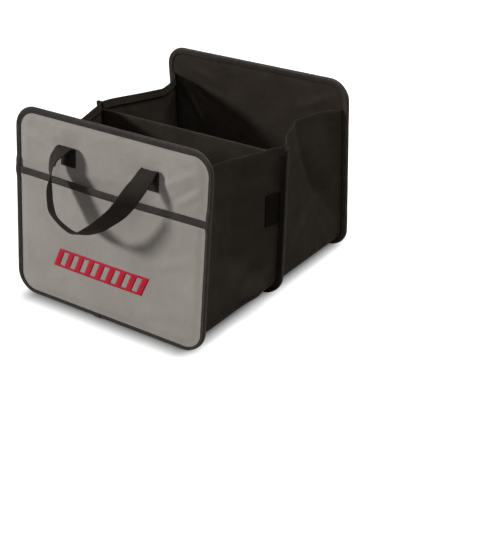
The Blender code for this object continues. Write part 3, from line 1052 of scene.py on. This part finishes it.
# %% Divider cloth
DIVIDER_COLUMNS = 80
DIVIDER_ROWS = 46
DIVIDER_PUFF = 0.0006
DIVIDER_ROLL = 0.0005
DIVIDER_WAVE = 0.08
DIVIDER_HELD = 0.02
DIVIDER_TOP_FREE = 0.010
DIVIDER_CREASES = [
    ((-0.170, 0.230), (-0.060, 0.160), 0.012, 0.0010),
    ((0.165, 0.225), (0.100, 0.120), 0.012, 0.0010),
    ((0.060, 0.250), (0.020, 0.170), 0.014, 0.0008),
]


def make_divider_cloth():
    top = DIVIDER_HEIGHT - CLOTH / 2 - COVER_MIDDLE
    face = top - EDGE_INSET
    turn = math.pi * COVER_MIDDLE
    length = 2 * face + turn
    across = spread(-HALF + EDGE_INSET, HALF - EDGE_INSET, DIVIDER_COLUMNS)
    across.append(HALF - EDGE_INSET)
    over = spread(0.0, face, DIVIDER_ROWS) + spread(face, face + turn, 6)
    over += spread(face + turn, length, DIVIDER_ROWS) + [length]

    def shape(a, b):
        back = b > face + turn / 2
        up = min(b, length - b)
        if up < face:
            z = EDGE_INSET + up
            x = a * half_width_at(z, EDGE_INSET, low_only=True) / (HALF - EDGE_INSET)
            inside = min(rim_depth(x, z), top + DIVIDER_TOP_FREE - z) - TAPE_WIDTH
            held = soft_step(inside / DIVIDER_HELD)
            roll = DIVIDER_ROLL * wave_of_cloth(x, z, DIVIDER_WAVE, 17.0 if back else 21.0)
            rise = max(0.0, DIVIDER_PUFF + roll + creased(x, z, DIVIDER_CREASES)) * held
            x += seam_flare(x, z, SEAM_REACH)
            return Vector((x, (1 if back else -1) * (COVER_MIDDLE + rise), z))
        angle = (b - face) / turn * math.pi
        x = a + seam_flare(a, top, SEAM_REACH)
        return Vector((x, -COVER_MIDDLE * math.cos(angle), top + COVER_MIDDLE * math.sin(angle)))

    cloth = cut_cloth("divider_cloth", across, over, shape, CLOTH,
                      black_cloth, ["divider_cover"])


make_divider_cloth()

# %% [markdown]
# ## The folded side walls and the floor
#
# One black cloth runs down the left wall, under the floor and up the right wall. The panels
# lean in at the top, so a wall has spare cloth there, and it folds inwards as a V. Near the
# floor the fold can't go on, because the floor is flat, and it runs out in a flat triangle.
# A simulation finds such a fold only by luck, so the fold is written as a rule. Each wall's top
# edge is a line drawn from above, the same line gets shallower towards the floor, and below a
# start height the flat triangle takes over. On the way down the fold's crease may slant towards
# the panel. Each top edge is turned in as a hem.

# %% Lines of the folds
BANDS = {
    "front_band": {"facing": -1, "lean": FRONT_LEAN, "flare_reach": 0.50},
    "rear_band": {"facing": 1, "lean": REAR_LEAN, "flare_reach": 0.20},
}
FOLD_SHAPES = {
    ("front_band", -1): [(0, 0), (0.06, 0.012), (0.20, 0.030), (0.42, 0.038), (0.60, 0.028),
                         (0.78, 0.016), (0.93, 0.008), (1, 0)],
    ("front_band", 1): [(0, 0), (0.06, 0.014), (0.18, 0.031), (0.36, 0.036), (0.54, 0.027),
                        (0.69, 0.018), (0.82, 0.013), (0.94, 0.009), (1, 0)],
    ("rear_band", -1): [(0, 0), (0.05, 0.010), (0.13, 0.024), (0.28, 0.036), (0.44, 0.045),
                        (0.62, 0.029), (0.80, 0.013), (0.94, 0.002), (1, 0)],
    ("rear_band", 1): [(0, 0), (0.05, 0.006), (0.14, 0.024), (0.28, 0.031), (0.47, 0.037),
                       (0.60, 0.024), (0.78, 0.013), (0.93, 0.001), (1, 0)],
}
FOOT_LINES = {
    ("front_band", -1): (0.40, 0.40, 1.3),
    ("front_band", 1): (0.36, 0.36, 1.5),
    ("rear_band", -1): (0.44, 0.40, 1.3),
    ("rear_band", 1): (0.47, 0.27, 2.0),
}
print("walls with a fold of their own:", len(FOLD_SHAPES))

# %% [markdown]
# A wall's fold at any height and any share of the way from the panel to the divider follows
# from those lines. Between the top edge and the foot the drawn line turns into a plain tent,
# and a soft minimum rounds the corner where the flat triangle begins.

# %% The rule of the fold
PLEAT_START = 0.115
CREASE_SOFTNESS = 0.07
FOLD_ROUNDING = 0.022


def straight_between(points, t):
    """The value at t of a line drawn straight from point to point."""
    for (left, low), (right, high) in zip(points, points[1:]):
        if t <= right:
            return low + (high - low) * max(t - left, 0.0) / (right - left)
    return points[-1][1]


def top_edge_fold(name, side, t):
    """How far a wall's top edge is folded in, with the line's corners rounded."""
    points = FOLD_SHAPES[name, side]
    near = min(FOLD_ROUNDING, t, 1 - t)
    before, after = straight_between(points, t - near), straight_between(points, t + near)
    return (before + 2 * straight_between(points, t) + after) / 4


def inner_face_y(height, lean):
    """How far a leaning panel's lining, with its seam, stands from the divider."""
    lift = INNER_SURFACE * math.sin(lean)
    seam = (FACE + SEAM_GAP) / math.cos(lean)
    return DEPTH / 2 - seam - (height - lift) * math.tan(lean)


def soft_minimum(first, second, blend):
    """The smaller of two values, with the corner between them rounded."""
    near = max(blend - abs(first - second), 0.0) / blend
    return min(first, second) - near * near * blend / 4


def drawn_in(height, t, name, side):
    """How far a wall is folded in at a share t of the way from panel to divider."""
    rise = max(0.0, height - SEAM_INSET)
    deepest = max(depth for _, depth in FOLD_SHAPES[name, side])
    slack = deepest * math.sqrt(rise / (SIDE_HEIGHT - SEAM_INSET))
    at_top, at_foot, bow = FOOT_LINES[name, side]
    lowness = min(1.0, (SIDE_HEIGHT - height) / (SIDE_HEIGHT - PLEAT_START - SEAM_INSET))
    crease = at_top + (at_foot - at_top) * lowness
    if t < crease:
        along, tent = t / crease * at_top, t / crease
    else:
        share = (t - crease) / (1 - crease)
        along, tent = at_top + share * (1 - at_top), 1 - share**bow
    ridge = top_edge_fold(name, side, along) / deepest
    ridge += (tent - ridge) * soft_step(lowness)
    share = soft_minimum(ridge, rise / PLEAT_START, CREASE_SOFTNESS)
    return slack * max(0.0, share)


deepest_fold = drawn_in(SIDE_HEIGHT, 0.44, "rear_band", -1)
print("deepest fold:", round(1000 * deepest_fold), "mm")

# %% [markdown]
# ### Creases of the walls
#
# Each wall also gets its own creases, as (start, end, width, height) in shares of the way to
# the divider and in heights. The front right wall bulges low down, where its cloth was pushed
# outwards, and the loose seam takes the end of both right walls with it.

# %% Creases of the walls
WALL_SPAN = 0.21
WALL_ROLL = 0.0016
WALL_WAVE = 0.055
WALL_SEAM_REACH = 0.1
WALL_HELD_SHARE = 0.16
WALL_HELD_HEIGHT = 0.03
BULGE_HEIGHT = 0.0110
BULGE_PLACE = Vector((0.66, 0.040))
BULGE_SIZE = Vector((0.046, 0.030))
WALL_CREASES = {
    ("front_band", 1): [
        ((0.10, 0.020), (0.80, 0.100), 0.022, 0.0030),
        ((0.97, 0.070), (0.62, 0.015), 0.018, 0.0050),
        ((0.95, 0.235), (0.70, 0.120), 0.020, 0.0016),
        ((0.20, 0.240), (0.45, 0.110), 0.018, 0.0014),
        ((0.75, 0.262), (0.55, 0.190), 0.012, -0.0012),
    ],
    ("front_band", -1): [
        ((0.10, 0.030), (0.60, 0.110), 0.022, 0.0026),
        ((0.90, 0.230), (0.65, 0.130), 0.018, 0.0016),
        ((0.30, 0.255), (0.50, 0.170), 0.014, -0.0014),
    ],
    ("rear_band", 1): [
        ((0.00, 0.012), (0.30, 0.126), 0.012, 0.0022),
        ((1.05, 0.020), (0.22, 0.130), 0.011, 0.0026),
        ((0.46, 0.010), (0.26, 0.126), 0.012, 0.0038),
        ((0.30, 0.130), (0.50, 0.275), 0.010, -0.0034),
        ((0.80, 0.240), (0.62, 0.110), 0.018, 0.0012),
        ((0.12, 0.250), (0.20, 0.120), 0.016, 0.0010),
    ],
    ("rear_band", -1): [
        ((0.08, 0.250), (0.30, 0.150), 0.014, 0.0020),
        ((0.15, 0.268), (0.38, 0.215), 0.010, -0.0016),
        ((0.85, 0.262), (0.60, 0.190), 0.014, 0.0018),
        ((0.70, 0.240), (0.55, 0.120), 0.016, 0.0016),
        ((0.93, 0.030), (0.56, 0.105), 0.020, 0.0026),
    ],
}


def wall_roll(name, side, t, height):
    """Slow waves and listed creases of one wall, zero where the wall is sewn."""
    held = soft_step(min(t, 1 - t) / WALL_HELD_SHARE)
    held *= soft_step((height - SEAM_INSET) / WALL_HELD_HEIGHT)
    seed = 31.0 + 7 * side + (3.0 if name == "rear_band" else 0.0)
    roll = WALL_ROLL * wave_of_cloth(t * WALL_SPAN, height, WALL_WAVE, seed)
    placed = [
        ((a[0] * WALL_SPAN, a[1]), (b[0] * WALL_SPAN, b[1]), width, rise)
        for a, b, width, rise in WALL_CREASES[name, side]
    ]
    roll += creased(t * WALL_SPAN, height, placed)
    if (name, side) == ("front_band", 1):
        sideways = (t - BULGE_PLACE.x) * WALL_SPAN / BULGE_SIZE.x
        upwards = (height - BULGE_PLACE.y) / BULGE_SIZE.y
        roll += BULGE_HEIGHT * (1 - soft_step(math.hypot(sideways, upwards)))
    return held * roll


def band_point(name, distance, t, inward=0.0):
    """A point of a cloth band, by its distance along the rim and its share towards the divider."""
    band = BANDS[name]
    edge, outward = walk_rim(distance, SIDE_HEIGHT)
    spot = edge - outward * SEAM_INSET
    side = 1 if spot.x > 0 else -1
    upright = abs(outward.x)
    folded = drawn_in(spot.y, t, name, side) - wall_roll(name, side, t, spot.y) * upright
    far = inner_face_y(spot.y, band["lean"])
    near = FACE + SEAM_GAP
    spot = spot - outward * (folded + inward)
    reach = band["flare_reach"]
    flare = seam_flare(side * HALF, spot.y, WALL_SEAM_REACH)
    spot.x += flare * soft_step((t - 1 + reach) / reach) * upright
    return Vector((spot.x, band["facing"] * (far + (near - far) * t), spot.y))


print("creases on the walls:", sum(len(creases) for creases in WALL_CREASES.values()))

# %% [markdown]
# The floor of the band is loose cloth between the panels, under the floor board. It sags by a
# few millimetres, but never down to the ground, because the bound edges carry the box.

# %% Cutting the two bands
HEM = 0.015
HEM_SPACE = 0.0010
HEM_SWELL = 0.0012
FLOOR_ROLL = 0.0009
FLOOR_WAVE = 0.06
FLOOR_HELD_SHARE = 0.12


def make_band(name):
    wall = SIDE_HEIGHT - CORNER_RADIUS
    turn = math.pi * HEM_SPACE / 2
    first = HEM + turn
    floor_start = first + wall + CORNER_LENGTH
    total = 2 * first + divider_rim
    left = spread(0.0, HEM, 5) + spread(HEM, first, 4) + spread(first, first + wall, 60)
    left += spread(first + wall, floor_start, 12)
    under = spread(floor_start, total - floor_start, 60) + [total - floor_start]
    along = left + under + [total - line for line in reversed(left)]
    share = spread(0.0, 1.0, 56) + [1.0]
    span = DEPTH / 2 - 2 * (FACE + SEAM_GAP)
    across = [t * span for t in share]

    def shape(a, b):
        t = a / span
        from_end = min(b, total - b)
        from_left = b < first + divider_rim / 2
        if from_end < first:
            down = HEM - from_end
            angle = 0.0
            if from_end > HEM:
                down = 0.0
                angle = (from_end - HEM) / turn * math.pi
            distance = down if from_left else divider_rim - down
            inward = HEM_SPACE / 2 * (1 + math.cos(angle)) + HEM_SWELL * soft_step(down / HEM)
            point = band_point(name, distance, t, inward)
            return point + Vector((0.0, 0.0, HEM_SPACE / 2 * math.sin(angle)))
        distance = b - first
        point = band_point(name, distance, t)
        outward = walk_rim(distance, SIDE_HEIGHT)[1]
        flat = max(0.0, -outward.y) ** 4
        held = soft_step(min(t, 1 - t) / FLOOR_HELD_SHARE)
        sag = wave_of_cloth(point.x, point.y, FLOOR_WAVE, 40.0) - 1
        point.z += FLOOR_ROLL * flat * held * sag
        return point

    band = cut_cloth(name + "_cloth", across, along, shape, CLOTH,
                     black_cloth, [name])


make_band("front_band")
make_band("rear_band")

# %% [markdown]
# ## Hook-and-loop patches
#
# A patch of hook tape is sewn on each side wall beside the divider, and holds the organizer
# shut when it is folded. It follows the wall it is sewn to, so it is placed on the band's own
# rule, a little outside it. The fuzz is far too fine for mesh, and stays in the material.

# %% Patches on the side walls
PATCH_WIDTH = 0.027
PATCH_LOW = 0.141
PATCH_HIGH = 0.197
PATCH_THICKNESS = 0.0012
PATCH_SETBACK = 0.002


def on_outer_wall(side, height, away, offset):
    """A point just outside the front band's outer face, this far from the divider."""
    span = inner_face_y(height, FRONT_LEAN) - (FACE + SEAM_GAP)
    down = SIDE_HEIGHT - height
    distance = down if side < 0 else divider_rim - down
    step = 0.002
    here = band_point("front_band", distance, 1 - away / span)
    beside = band_point("front_band", distance, 1 - (away + step) / span)
    below = band_point("front_band", distance + step * -side, 1 - away / span)
    outward = (beside - here).cross(below - here).normalized()
    if outward.x * side < 0:
        outward.negate()
    return here + outward * offset


def make_patch(name, side):
    offset = CLOTH / 2 + GAP + PATCH_THICKNESS / 2
    across = spread(PATCH_SETBACK, PATCH_SETBACK + PATCH_WIDTH, 14)
    across.append(PATCH_SETBACK + PATCH_WIDTH)
    up = spread(PATCH_LOW, PATCH_HIGH, 28) + [PATCH_HIGH]

    def shape(a, b):
        return on_outer_wall(side, b, a, offset)

    patch = cut_cloth(name + "_tape", across, up, shape, PATCH_THICKNESS,
                      hook_tape, [name])


make_patch("left_hook_patch", -1)
make_patch("right_hook_patch", 1)

# %% [markdown]
# ## Floor boards
#
# A loose card covered with black cloth lies in each compartment and keeps its floor flat. The
# card is stiff, so it is a bevelled block: the four upright edges get a wide round first, and
# then every edge a small one, where the cloth wraps the card.

# %% Cloth-covered floor boards
FLOOR_BOARD_RADIUS = 0.006
WRAP_RADIUS = 0.0009


def make_floor_board(name):
    low, high = [Vector(corner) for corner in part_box(name)]
    size = high - low
    bm = bmesh.new()
    bmesh.ops.create_cube(bm, size=1.0)
    bmesh.ops.scale(bm, vec=size, verts=bm.verts)
    bmesh.ops.translate(bm, vec=(low + high) / 2, verts=bm.verts)
    upright = [e for e in bm.edges if abs(e.verts[0].co.z - e.verts[1].co.z) > size.z / 2]
    bmesh.ops.bevel(bm, geom=upright, offset=FLOOR_BOARD_RADIUS, segments=8, profile=0.5,
                    affect="EDGES", material=-1)
    flat_faces = [f for f in bm.faces if abs(f.normal.z) > 0.9]
    rims = list({edge for face in flat_faces for edge in face.edges})
    bmesh.ops.bevel(bm, geom=rims, offset=WRAP_RADIUS, segments=3, profile=0.5,
                    affect="EDGES", material=-1)
    flat = bm.loops.layers.uv.new("flat_pattern")
    for face in bm.faces:
        for loop in face.loops:
            loop[flat].uv = loop.vert.co.xy
    mesh = bpy.data.meshes.new(name + "_cloth")
    bm.to_mesh(mesh)
    bm.free()
    mesh.shade_smooth()
    mesh.set_sharp_from_angle(angle=math.radians(40))
    add_piece(name + "_covered", mesh, black_cloth, [name])


make_floor_board("front_floor_board")
make_floor_board("rear_floor_board")

# %% [markdown]
# ## Webbing handles
#
# A handle is one length of 30 mm webbing. Each end is sewn flat to the panel, runs up to a
# fold and falls forward into a loop. The webbing is stiff edgewise, so the loop twists: on the
# left it shows its edge, and on the right its face. Its route is a list of given points, each
# with the direction in which the webbing's width lies.

# %% The route of the webbing
HANDLE_THICKNESS = 0.0016
HANDLE_SAMPLES = 260
SEWN_STEPS = 12
RIGHT_END_SHIFT = 0.0028
FOLD_ROUTE = [(0.0, 0.0), (0.0010, 0.0020), (0.0036, 0.0030)]
LOOP_ROUTE = [
    ((-1.00, 0.0090, -0.0032), (1.00, 0.00, 0.00)),
    ((-1.015, 0.0135, -0.0020), (1.00, 0.05, 0.00)),
    ((-1.050, 0.0190, 0.0022), (0.97, 0.22, -0.02)),
    ((-1.125, 0.0240, 0.0120), (0.88, 0.36, 0.20)),
    ((-1.165, 0.0265, 0.0255), (0.78, 0.40, 0.48)),
    ((-1.09, 0.0345, 0.0410), (0.62, 0.65, 0.44)),
    ((-1.04, 0.0420, 0.0580), (0.45, 0.82, 0.35)),
    ((-0.95, 0.0485, 0.0770), (0.40, 0.84, 0.38)),
    ((-0.84, 0.0520, 0.0930), (0.24, 0.81, 0.53)),
    ((-0.57, 0.0560, 0.1030), (0.08, 0.85, 0.52)),
    ((-0.33, 0.0580, 0.1085), (-0.01, 0.90, 0.43)),
    ((-0.06, 0.0590, 0.1080), (-0.08, 0.95, 0.29)),
    ((0.27, 0.0580, 0.0930), (-0.20, 0.87, 0.45)),
    ((0.52, 0.0540, 0.0760), (-0.28, 0.79, 0.55)),
    ((0.715, 0.0490, 0.0605), (-0.41, 0.71, 0.57)),
    ((0.85, 0.0435, 0.0440), (-0.62, 0.52, 0.58)),
    ((0.915, 0.0345, 0.0300), (-0.82, 0.25, 0.50)),
    ((0.975, 0.0245, 0.0170), (-0.93, 0.07, 0.36)),
    ((1.015, 0.0130, 0.0030), (-0.98, 0.05, 0.15)),
    ((1.035, 0.0085, -0.0022), (-1.00, 0.00, 0.00)),
]


def smooth_route(points, samples):
    """Points of one smooth curve through the given points."""
    ends = [2 * points[0] - points[1], *points, 2 * points[-1] - points[-2]]
    spans = len(points) - 1
    route = []
    for sample in range(samples + 1):
        place = sample / samples * spans
        span = min(int(place), spans - 1)
        t = place - span
        a, b, c, d = ends[span : span + 4]
        curve = 2 * b + (c - a) * t + (2 * a - 5 * b + 4 * c - d) * t**2
        route.append(0.5 * (curve + (3 * b - a - 3 * c + d) * t**3))
    return route


def handle_route():
    """The webbing's middle line and width directions, as (across, out, up) on its panel."""
    out = FACE + GAP + HANDLE_THICKNESS / 2
    flat_across = Vector((1.0, 0.0, 0.0))
    left = Vector((-HANDLE_SPREAD, 0.0, 0.0))
    fold = [Vector((0.0, out + step, HANDLE_FOLD + rise)) for step, rise in FOLD_ROUTE]
    points = [left + spot for spot in fold]
    widths = [flat_across] * len(fold)
    for (share, depth, drop), width in LOOP_ROUTE:
        points.append(Vector((share * HANDLE_SPREAD, depth, HANDLE_FOLD - drop)))
        widths.append(Vector(width))
    right = Vector((HANDLE_SPREAD + RIGHT_END_SHIFT, 0.0, 0.0))
    points += [right + spot for spot in reversed(fold)]
    widths += [-flat_across] * len(fold)
    heights = spread(HANDLE_SEWN_LOW, HANDLE_FOLD, SEWN_STEPS)
    sewn = [Vector((left.x, out, z)) for z in heights]
    line = sewn + smooth_route(points, HANDLE_SAMPLES)
    line += [spot - left + right for spot in reversed(sewn)]
    breadth = [flat_across] * SEWN_STEPS + smooth_route(widths, HANDLE_SAMPLES)
    breadth += [-flat_across] * SEWN_STEPS
    return line, breadth


route, breadth = handle_route()
route_length = sum((b - a).length for a, b in zip(route, route[1:]))
print("webbing in one handle:", round(route_length, 3), "m")

# %% [markdown]
# The webbing is cut as a flat strip and laid along that route, and its thickness is added to
# both sides. A small bevel rounds its edges, as a woven edge is.

# %% Cutting the webbing
EDGE_ROUND = 0.0006


def make_handle(name, matrix, cad_name):
    along = [0.0]
    for before, after in zip(route, route[1:]):
        along.append(along[-1] + (after - before).length)
    across = spread(-HANDLE_WIDTH / 2, HANDLE_WIDTH / 2, 8) + [HANDLE_WIDTH / 2]
    upright = Vector((0.0, 0.0, 1.0))

    def shape(a, b):
        number = along.index(b)
        ahead = route[min(number + 1, len(route) - 1)] - route[max(number - 1, 0)]
        if min(number, len(route) - 1 - number) <= SEWN_STEPS:
            ahead = upright
        ahead = ahead.normalized()
        wide = breadth[number] - ahead * breadth[number].dot(ahead)
        spot = route[number] + wide.normalized() * a
        return matrix @ Vector((spot.x, -spot.y, spot.z))

    strap = cut_cloth(name, across, along, shape, HANDLE_THICKNESS,
                      webbing, [cad_name])
    strap.modifiers["thickness"].use_even_offset = False
    rounded = strap.modifiers.new("rounded_edges", "BEVEL")
    rounded.width = EDGE_ROUND
    rounded.segments = 2
    rounded.limit_method = "ANGLE"
    rounded.angle_limit = math.radians(50)


make_handle("front_handle_webbing", FRONT, "front_handle")
make_handle("rear_handle_webbing", REAR, "rear_handle")

# %% [markdown]
# ## The print
#
# The pocket carries a plain printed band: slanted bars between two stripes. It is a thin ink
# layer, so it is cut as a grid with the gaps between the bars deleted, and it follows the
# pocket's own surface, bulge and creases and all.

# %% Printed band on the pocket
PRINT_BARS = 9
PRINT_BAR_WIDTH = 0.0125
PRINT_SPACE = 0.0095
PRINT_HEIGHT = 0.034
PRINT_STRIPE = 0.0045
PRINT_SLANT = 0.45
PRINT_CENTRE = Vector((-0.012, 0.083))
PRINT_THICKNESS = 0.00012
PRINT_CUTS = 4


def make_print():
    pitch = PRINT_BAR_WIDTH + PRINT_SPACE
    across = []
    for bar in range(PRINT_BARS):
        bar_end = bar * pitch + PRINT_BAR_WIDTH
        across += spread(bar * pitch, bar_end, PRINT_CUTS)
        across += spread(bar_end, (bar + 1) * pitch, PRINT_CUTS)
    across = across[: 1 - PRINT_CUTS]
    up = spread(0.0, PRINT_STRIPE, 2) + spread(PRINT_STRIPE, PRINT_HEIGHT - PRINT_STRIPE, 8)
    up += spread(PRINT_HEIGHT - PRINT_STRIPE, PRINT_HEIGHT, 2) + [PRINT_HEIGHT]
    middle_line = across[-1] / 2

    def shape(a, b):
        height = b - PRINT_HEIGHT / 2
        x = a - middle_line + PRINT_SLANT * height + PRINT_CENTRE.x
        z = PRINT_CENTRE.y + height
        out = pocket_middle(x, z) + CLOTH / 2 + PRINT_THICKNESS
        return FRONT @ Vector((x, -out, z))

    ink = cut_cloth("front_print_ink", across, up, shape, PRINT_THICKNESS,
                    red_ink, ["front_print"])
    bm = bmesh.new()
    bm.from_mesh(ink.data)
    flat = bm.loops.layers.uv["flat_pattern"]
    gaps = []
    for face in bm.faces:
        spots = [loop[flat].uv for loop in face.loops]
        a = sum(spot.x for spot in spots) / len(spots)
        b = sum(spot.y for spot in spots) / len(spots)
        between_stripes = PRINT_STRIPE < b < PRINT_HEIGHT - PRINT_STRIPE
        if between_stripes and a % pitch > PRINT_BAR_WIDTH:
            gaps.append(face)
    bmesh.ops.delete(bm, geom=gaps, context="FACES")
    bm.to_mesh(ink.data)
    bm.free()
    print("print:", round(across[-1], 3), "m wide,", len(gaps), "faces cut out")


make_print()

# %% [markdown]
# ## Stitches
#
# Real stitches show only up close, but they tell the eye that an edge is sewn. Each one is a
# tiny stretched sphere of a few faces, and a whole row is one mesh. A row is told where it
# runs by a function that gives the cloth's surface and the way out of it. An operator looks
# through its whole mesh each time, so a long row is made in short batches and then joined.

# %% A row of stitches
STITCH_PITCH = 0.0034
STITCH_GAP = 0.0007
THREAD_WIDTH = 0.00055
THREAD_LIFT = THREAD_WIDTH * 0.2
STITCH_BATCH = 20


def stitch_row(name, length, spot):
    """Stitches along a path; spot(distance) gives a surface point and the way out."""
    row = bmesh.new()
    bm = bmesh.new()
    mesh = bpy.data.meshes.new(name)
    count = max(1, round(length / STITCH_PITCH))
    pitch = length / count
    for number in range(count):
        start, out = spot(number * pitch + STITCH_GAP / 2)
        end, _ = spot((number + 1) * pitch - STITCH_GAP / 2)
        run = end - start
        ahead = run.normalized()
        beside = out.cross(ahead).normalized()
        turn = Matrix((ahead, beside, ahead.cross(beside))).transposed().to_4x4()
        size = Matrix.Diagonal((run.length / 2, THREAD_WIDTH / 2, THREAD_WIDTH / 2, 1.0))
        place = Matrix.Translation((start + end) / 2) @ turn @ size
        bmesh.ops.create_uvsphere(bm, u_segments=6, v_segments=4, radius=1.0, matrix=place)
        if number % STITCH_BATCH == STITCH_BATCH - 1 or number == count - 1:
            bm.to_mesh(mesh)
            row.from_mesh(mesh)
            bm.clear()
    row.to_mesh(mesh)
    row.free()
    bm.free()
    mesh.shade_smooth()
    add_piece(name, mesh, thread)


print("stitches to the metre:", round(1 / STITCH_PITCH))

# %% [markdown]
# The binding is sewn through both of its legs, so each tape gets a row on its outer and one
# on its inner leg. The tape on the pocket's mouth shows one row, near its lower edge.


# %% Rows along the tapes
MOUTH_ROW_HEIGHT = 0.002


def tape_row(name, matrix, start, length, top, base_at, side, closed, slim=0.0):
    """The row that sews a binding tape, on its outer (1) or inner (-1) leg."""
    lift = TAPE / 2 + THREAD_LIFT

    def spot(a):
        distance = start + a
        if closed:
            distance %= PANEL_RIM_LENGTH
        edge, outward = walk_rim(distance, top)
        at = edge - outward * STITCH_INSET * face_share(outward, slim)
        at = stand_aside(at, outward, closed, slim)
        out = (base_at(edge.y) if side > 0 else INNER_LEG) + lift
        return matrix @ Vector((at.x, -side * out, at.y)), matrix.to_3x3() @ Vector((0, -side, 0))

    stitch_row(name, length, spot)


for side, face_name in ((1, "outer"), (-1, "inner")):
    tape_row("front_" + face_name + "_stitches", FRONT, TAPE_JOIN, PANEL_RIM_LENGTH,
             PANEL_RIM_TOP, over_pocket, side, True, 1.0)
    tape_row("rear_" + face_name + "_stitches", REAR, TAPE_JOIN, PANEL_RIM_LENGTH,
             PANEL_RIM_TOP, over_cover, side, True)
    tape_row("divider_" + face_name + "_stitches", DIVIDER, 0.0, divider_rim,
             SIDE_HEIGHT, over_cover, side, False, DIVIDER_SLIM)


def pocket_mouth_spot(a):
    x = a - (HALF - TAPE_WIDTH)
    z = POCKET_HEIGHT - POCKET_TAPE_WIDTH + MOUTH_ROW_HEIGHT
    out = pocket_middle(x, z) + CLOTH / 2 + GAP + TAPE + THREAD_LIFT
    return FRONT @ Vector((x, -out, z)), FRONT.to_3x3() @ Vector((0, -1, 0))


stitch_row("pocket_tape_stitches", 2 * (HALF - TAPE_WIDTH), pocket_mouth_spot)

# %% [markdown]
# The hems of the side walls are sewn near their inner edge, with the stitches showing on both
# faces. The handles are sewn on with a square and a cross inside it.

# %% Hem rows and handle squares
HEM_STITCH = HEM - 0.003
HEM_SWELL_AT_ROW = 0.0011
HEM_ROW_MARGIN = 0.02
BOX_SIZE = 0.021


def hem_row(name, band_name, side, inside):
    band = BANDS[band_name]
    height = SIDE_HEIGHT - HEM_STITCH
    span = inner_face_y(height, band["lean"]) - (FACE + SEAM_GAP)
    distance = HEM_STITCH if side < 0 else divider_rim - HEM_STITCH
    inward = -CLOTH / 2 - THREAD_LIFT
    if inside:
        inward = HEM_SPACE + HEM_SWELL_AT_ROW + CLOTH / 2 + THREAD_LIFT

    def spot(a):
        t = HEM_ROW_MARGIN + (1 - 2 * HEM_ROW_MARGIN) * a / span
        return band_point(band_name, distance, t, inward), Vector((side, 0, 0))

    stitch_row(name, span, spot)


for band_name in BANDS:
    for side, hand in ((-1, "left"), (1, "right")):
        hem_row(f"{band_name}_{hand}_hem_outer", band_name, side, False)
        hem_row(f"{band_name}_{hand}_hem_inner", band_name, side, True)


def sewn_square(name, matrix, side):
    """A square with a cross, through the flat end of a handle."""
    centre = Vector((side * HANDLE_SPREAD, (HANDLE_SEWN_LOW + HANDLE_FOLD) / 2))
    centre.x += max(side, 0) * RIGHT_END_SHIFT
    half = BOX_SIZE / 2
    corners = [Vector(c) * half for c in ((-1, -1), (1, -1), (1, 1), (-1, 1))]
    paths = [(corners[n], corners[(n + 1) % 4]) for n in range(4)]
    paths += [(corners[0], corners[2]), (corners[1], corners[3])]
    out = FACE + GAP + HANDLE_THICKNESS + THREAD_LIFT
    for number, (start, end) in enumerate(paths):

        def spot(a, start=start, end=end):
            at = centre + start + (end - start).normalized() * a
            return matrix @ Vector((at.x, -out, at.y)), matrix.to_3x3() @ Vector((0, -1, 0))

        stitch_row(f"{name}_{number}", (end - start).length, spot)


for panel_name, matrix in (("front", FRONT), ("rear", REAR)):
    for side, hand in ((-1, "left"), (1, "right")):
        sewn_square(f"{panel_name}_{hand}_handle_stitches", matrix, side)

# %% [markdown]
# ## The cards inside
#
# The stiff cards are sealed between their cloths and never show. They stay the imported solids,
# with the card's own material, so that a cut through the model still looks right.

# %% Cards
for name in ("front_board", "rear_board", "divider_board"):
    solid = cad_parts[name]
    solid.data.materials.clear()
    solid.data.materials.append(board_card)
    print(name, "keeps its solid")

# %% [markdown]
# ## Finish
#
# The dressed model may stand a few millimetres proud of the solids, as cloth does, and no
# more.

# %% Bring the scene up to date
bpy.context.view_layer.update()
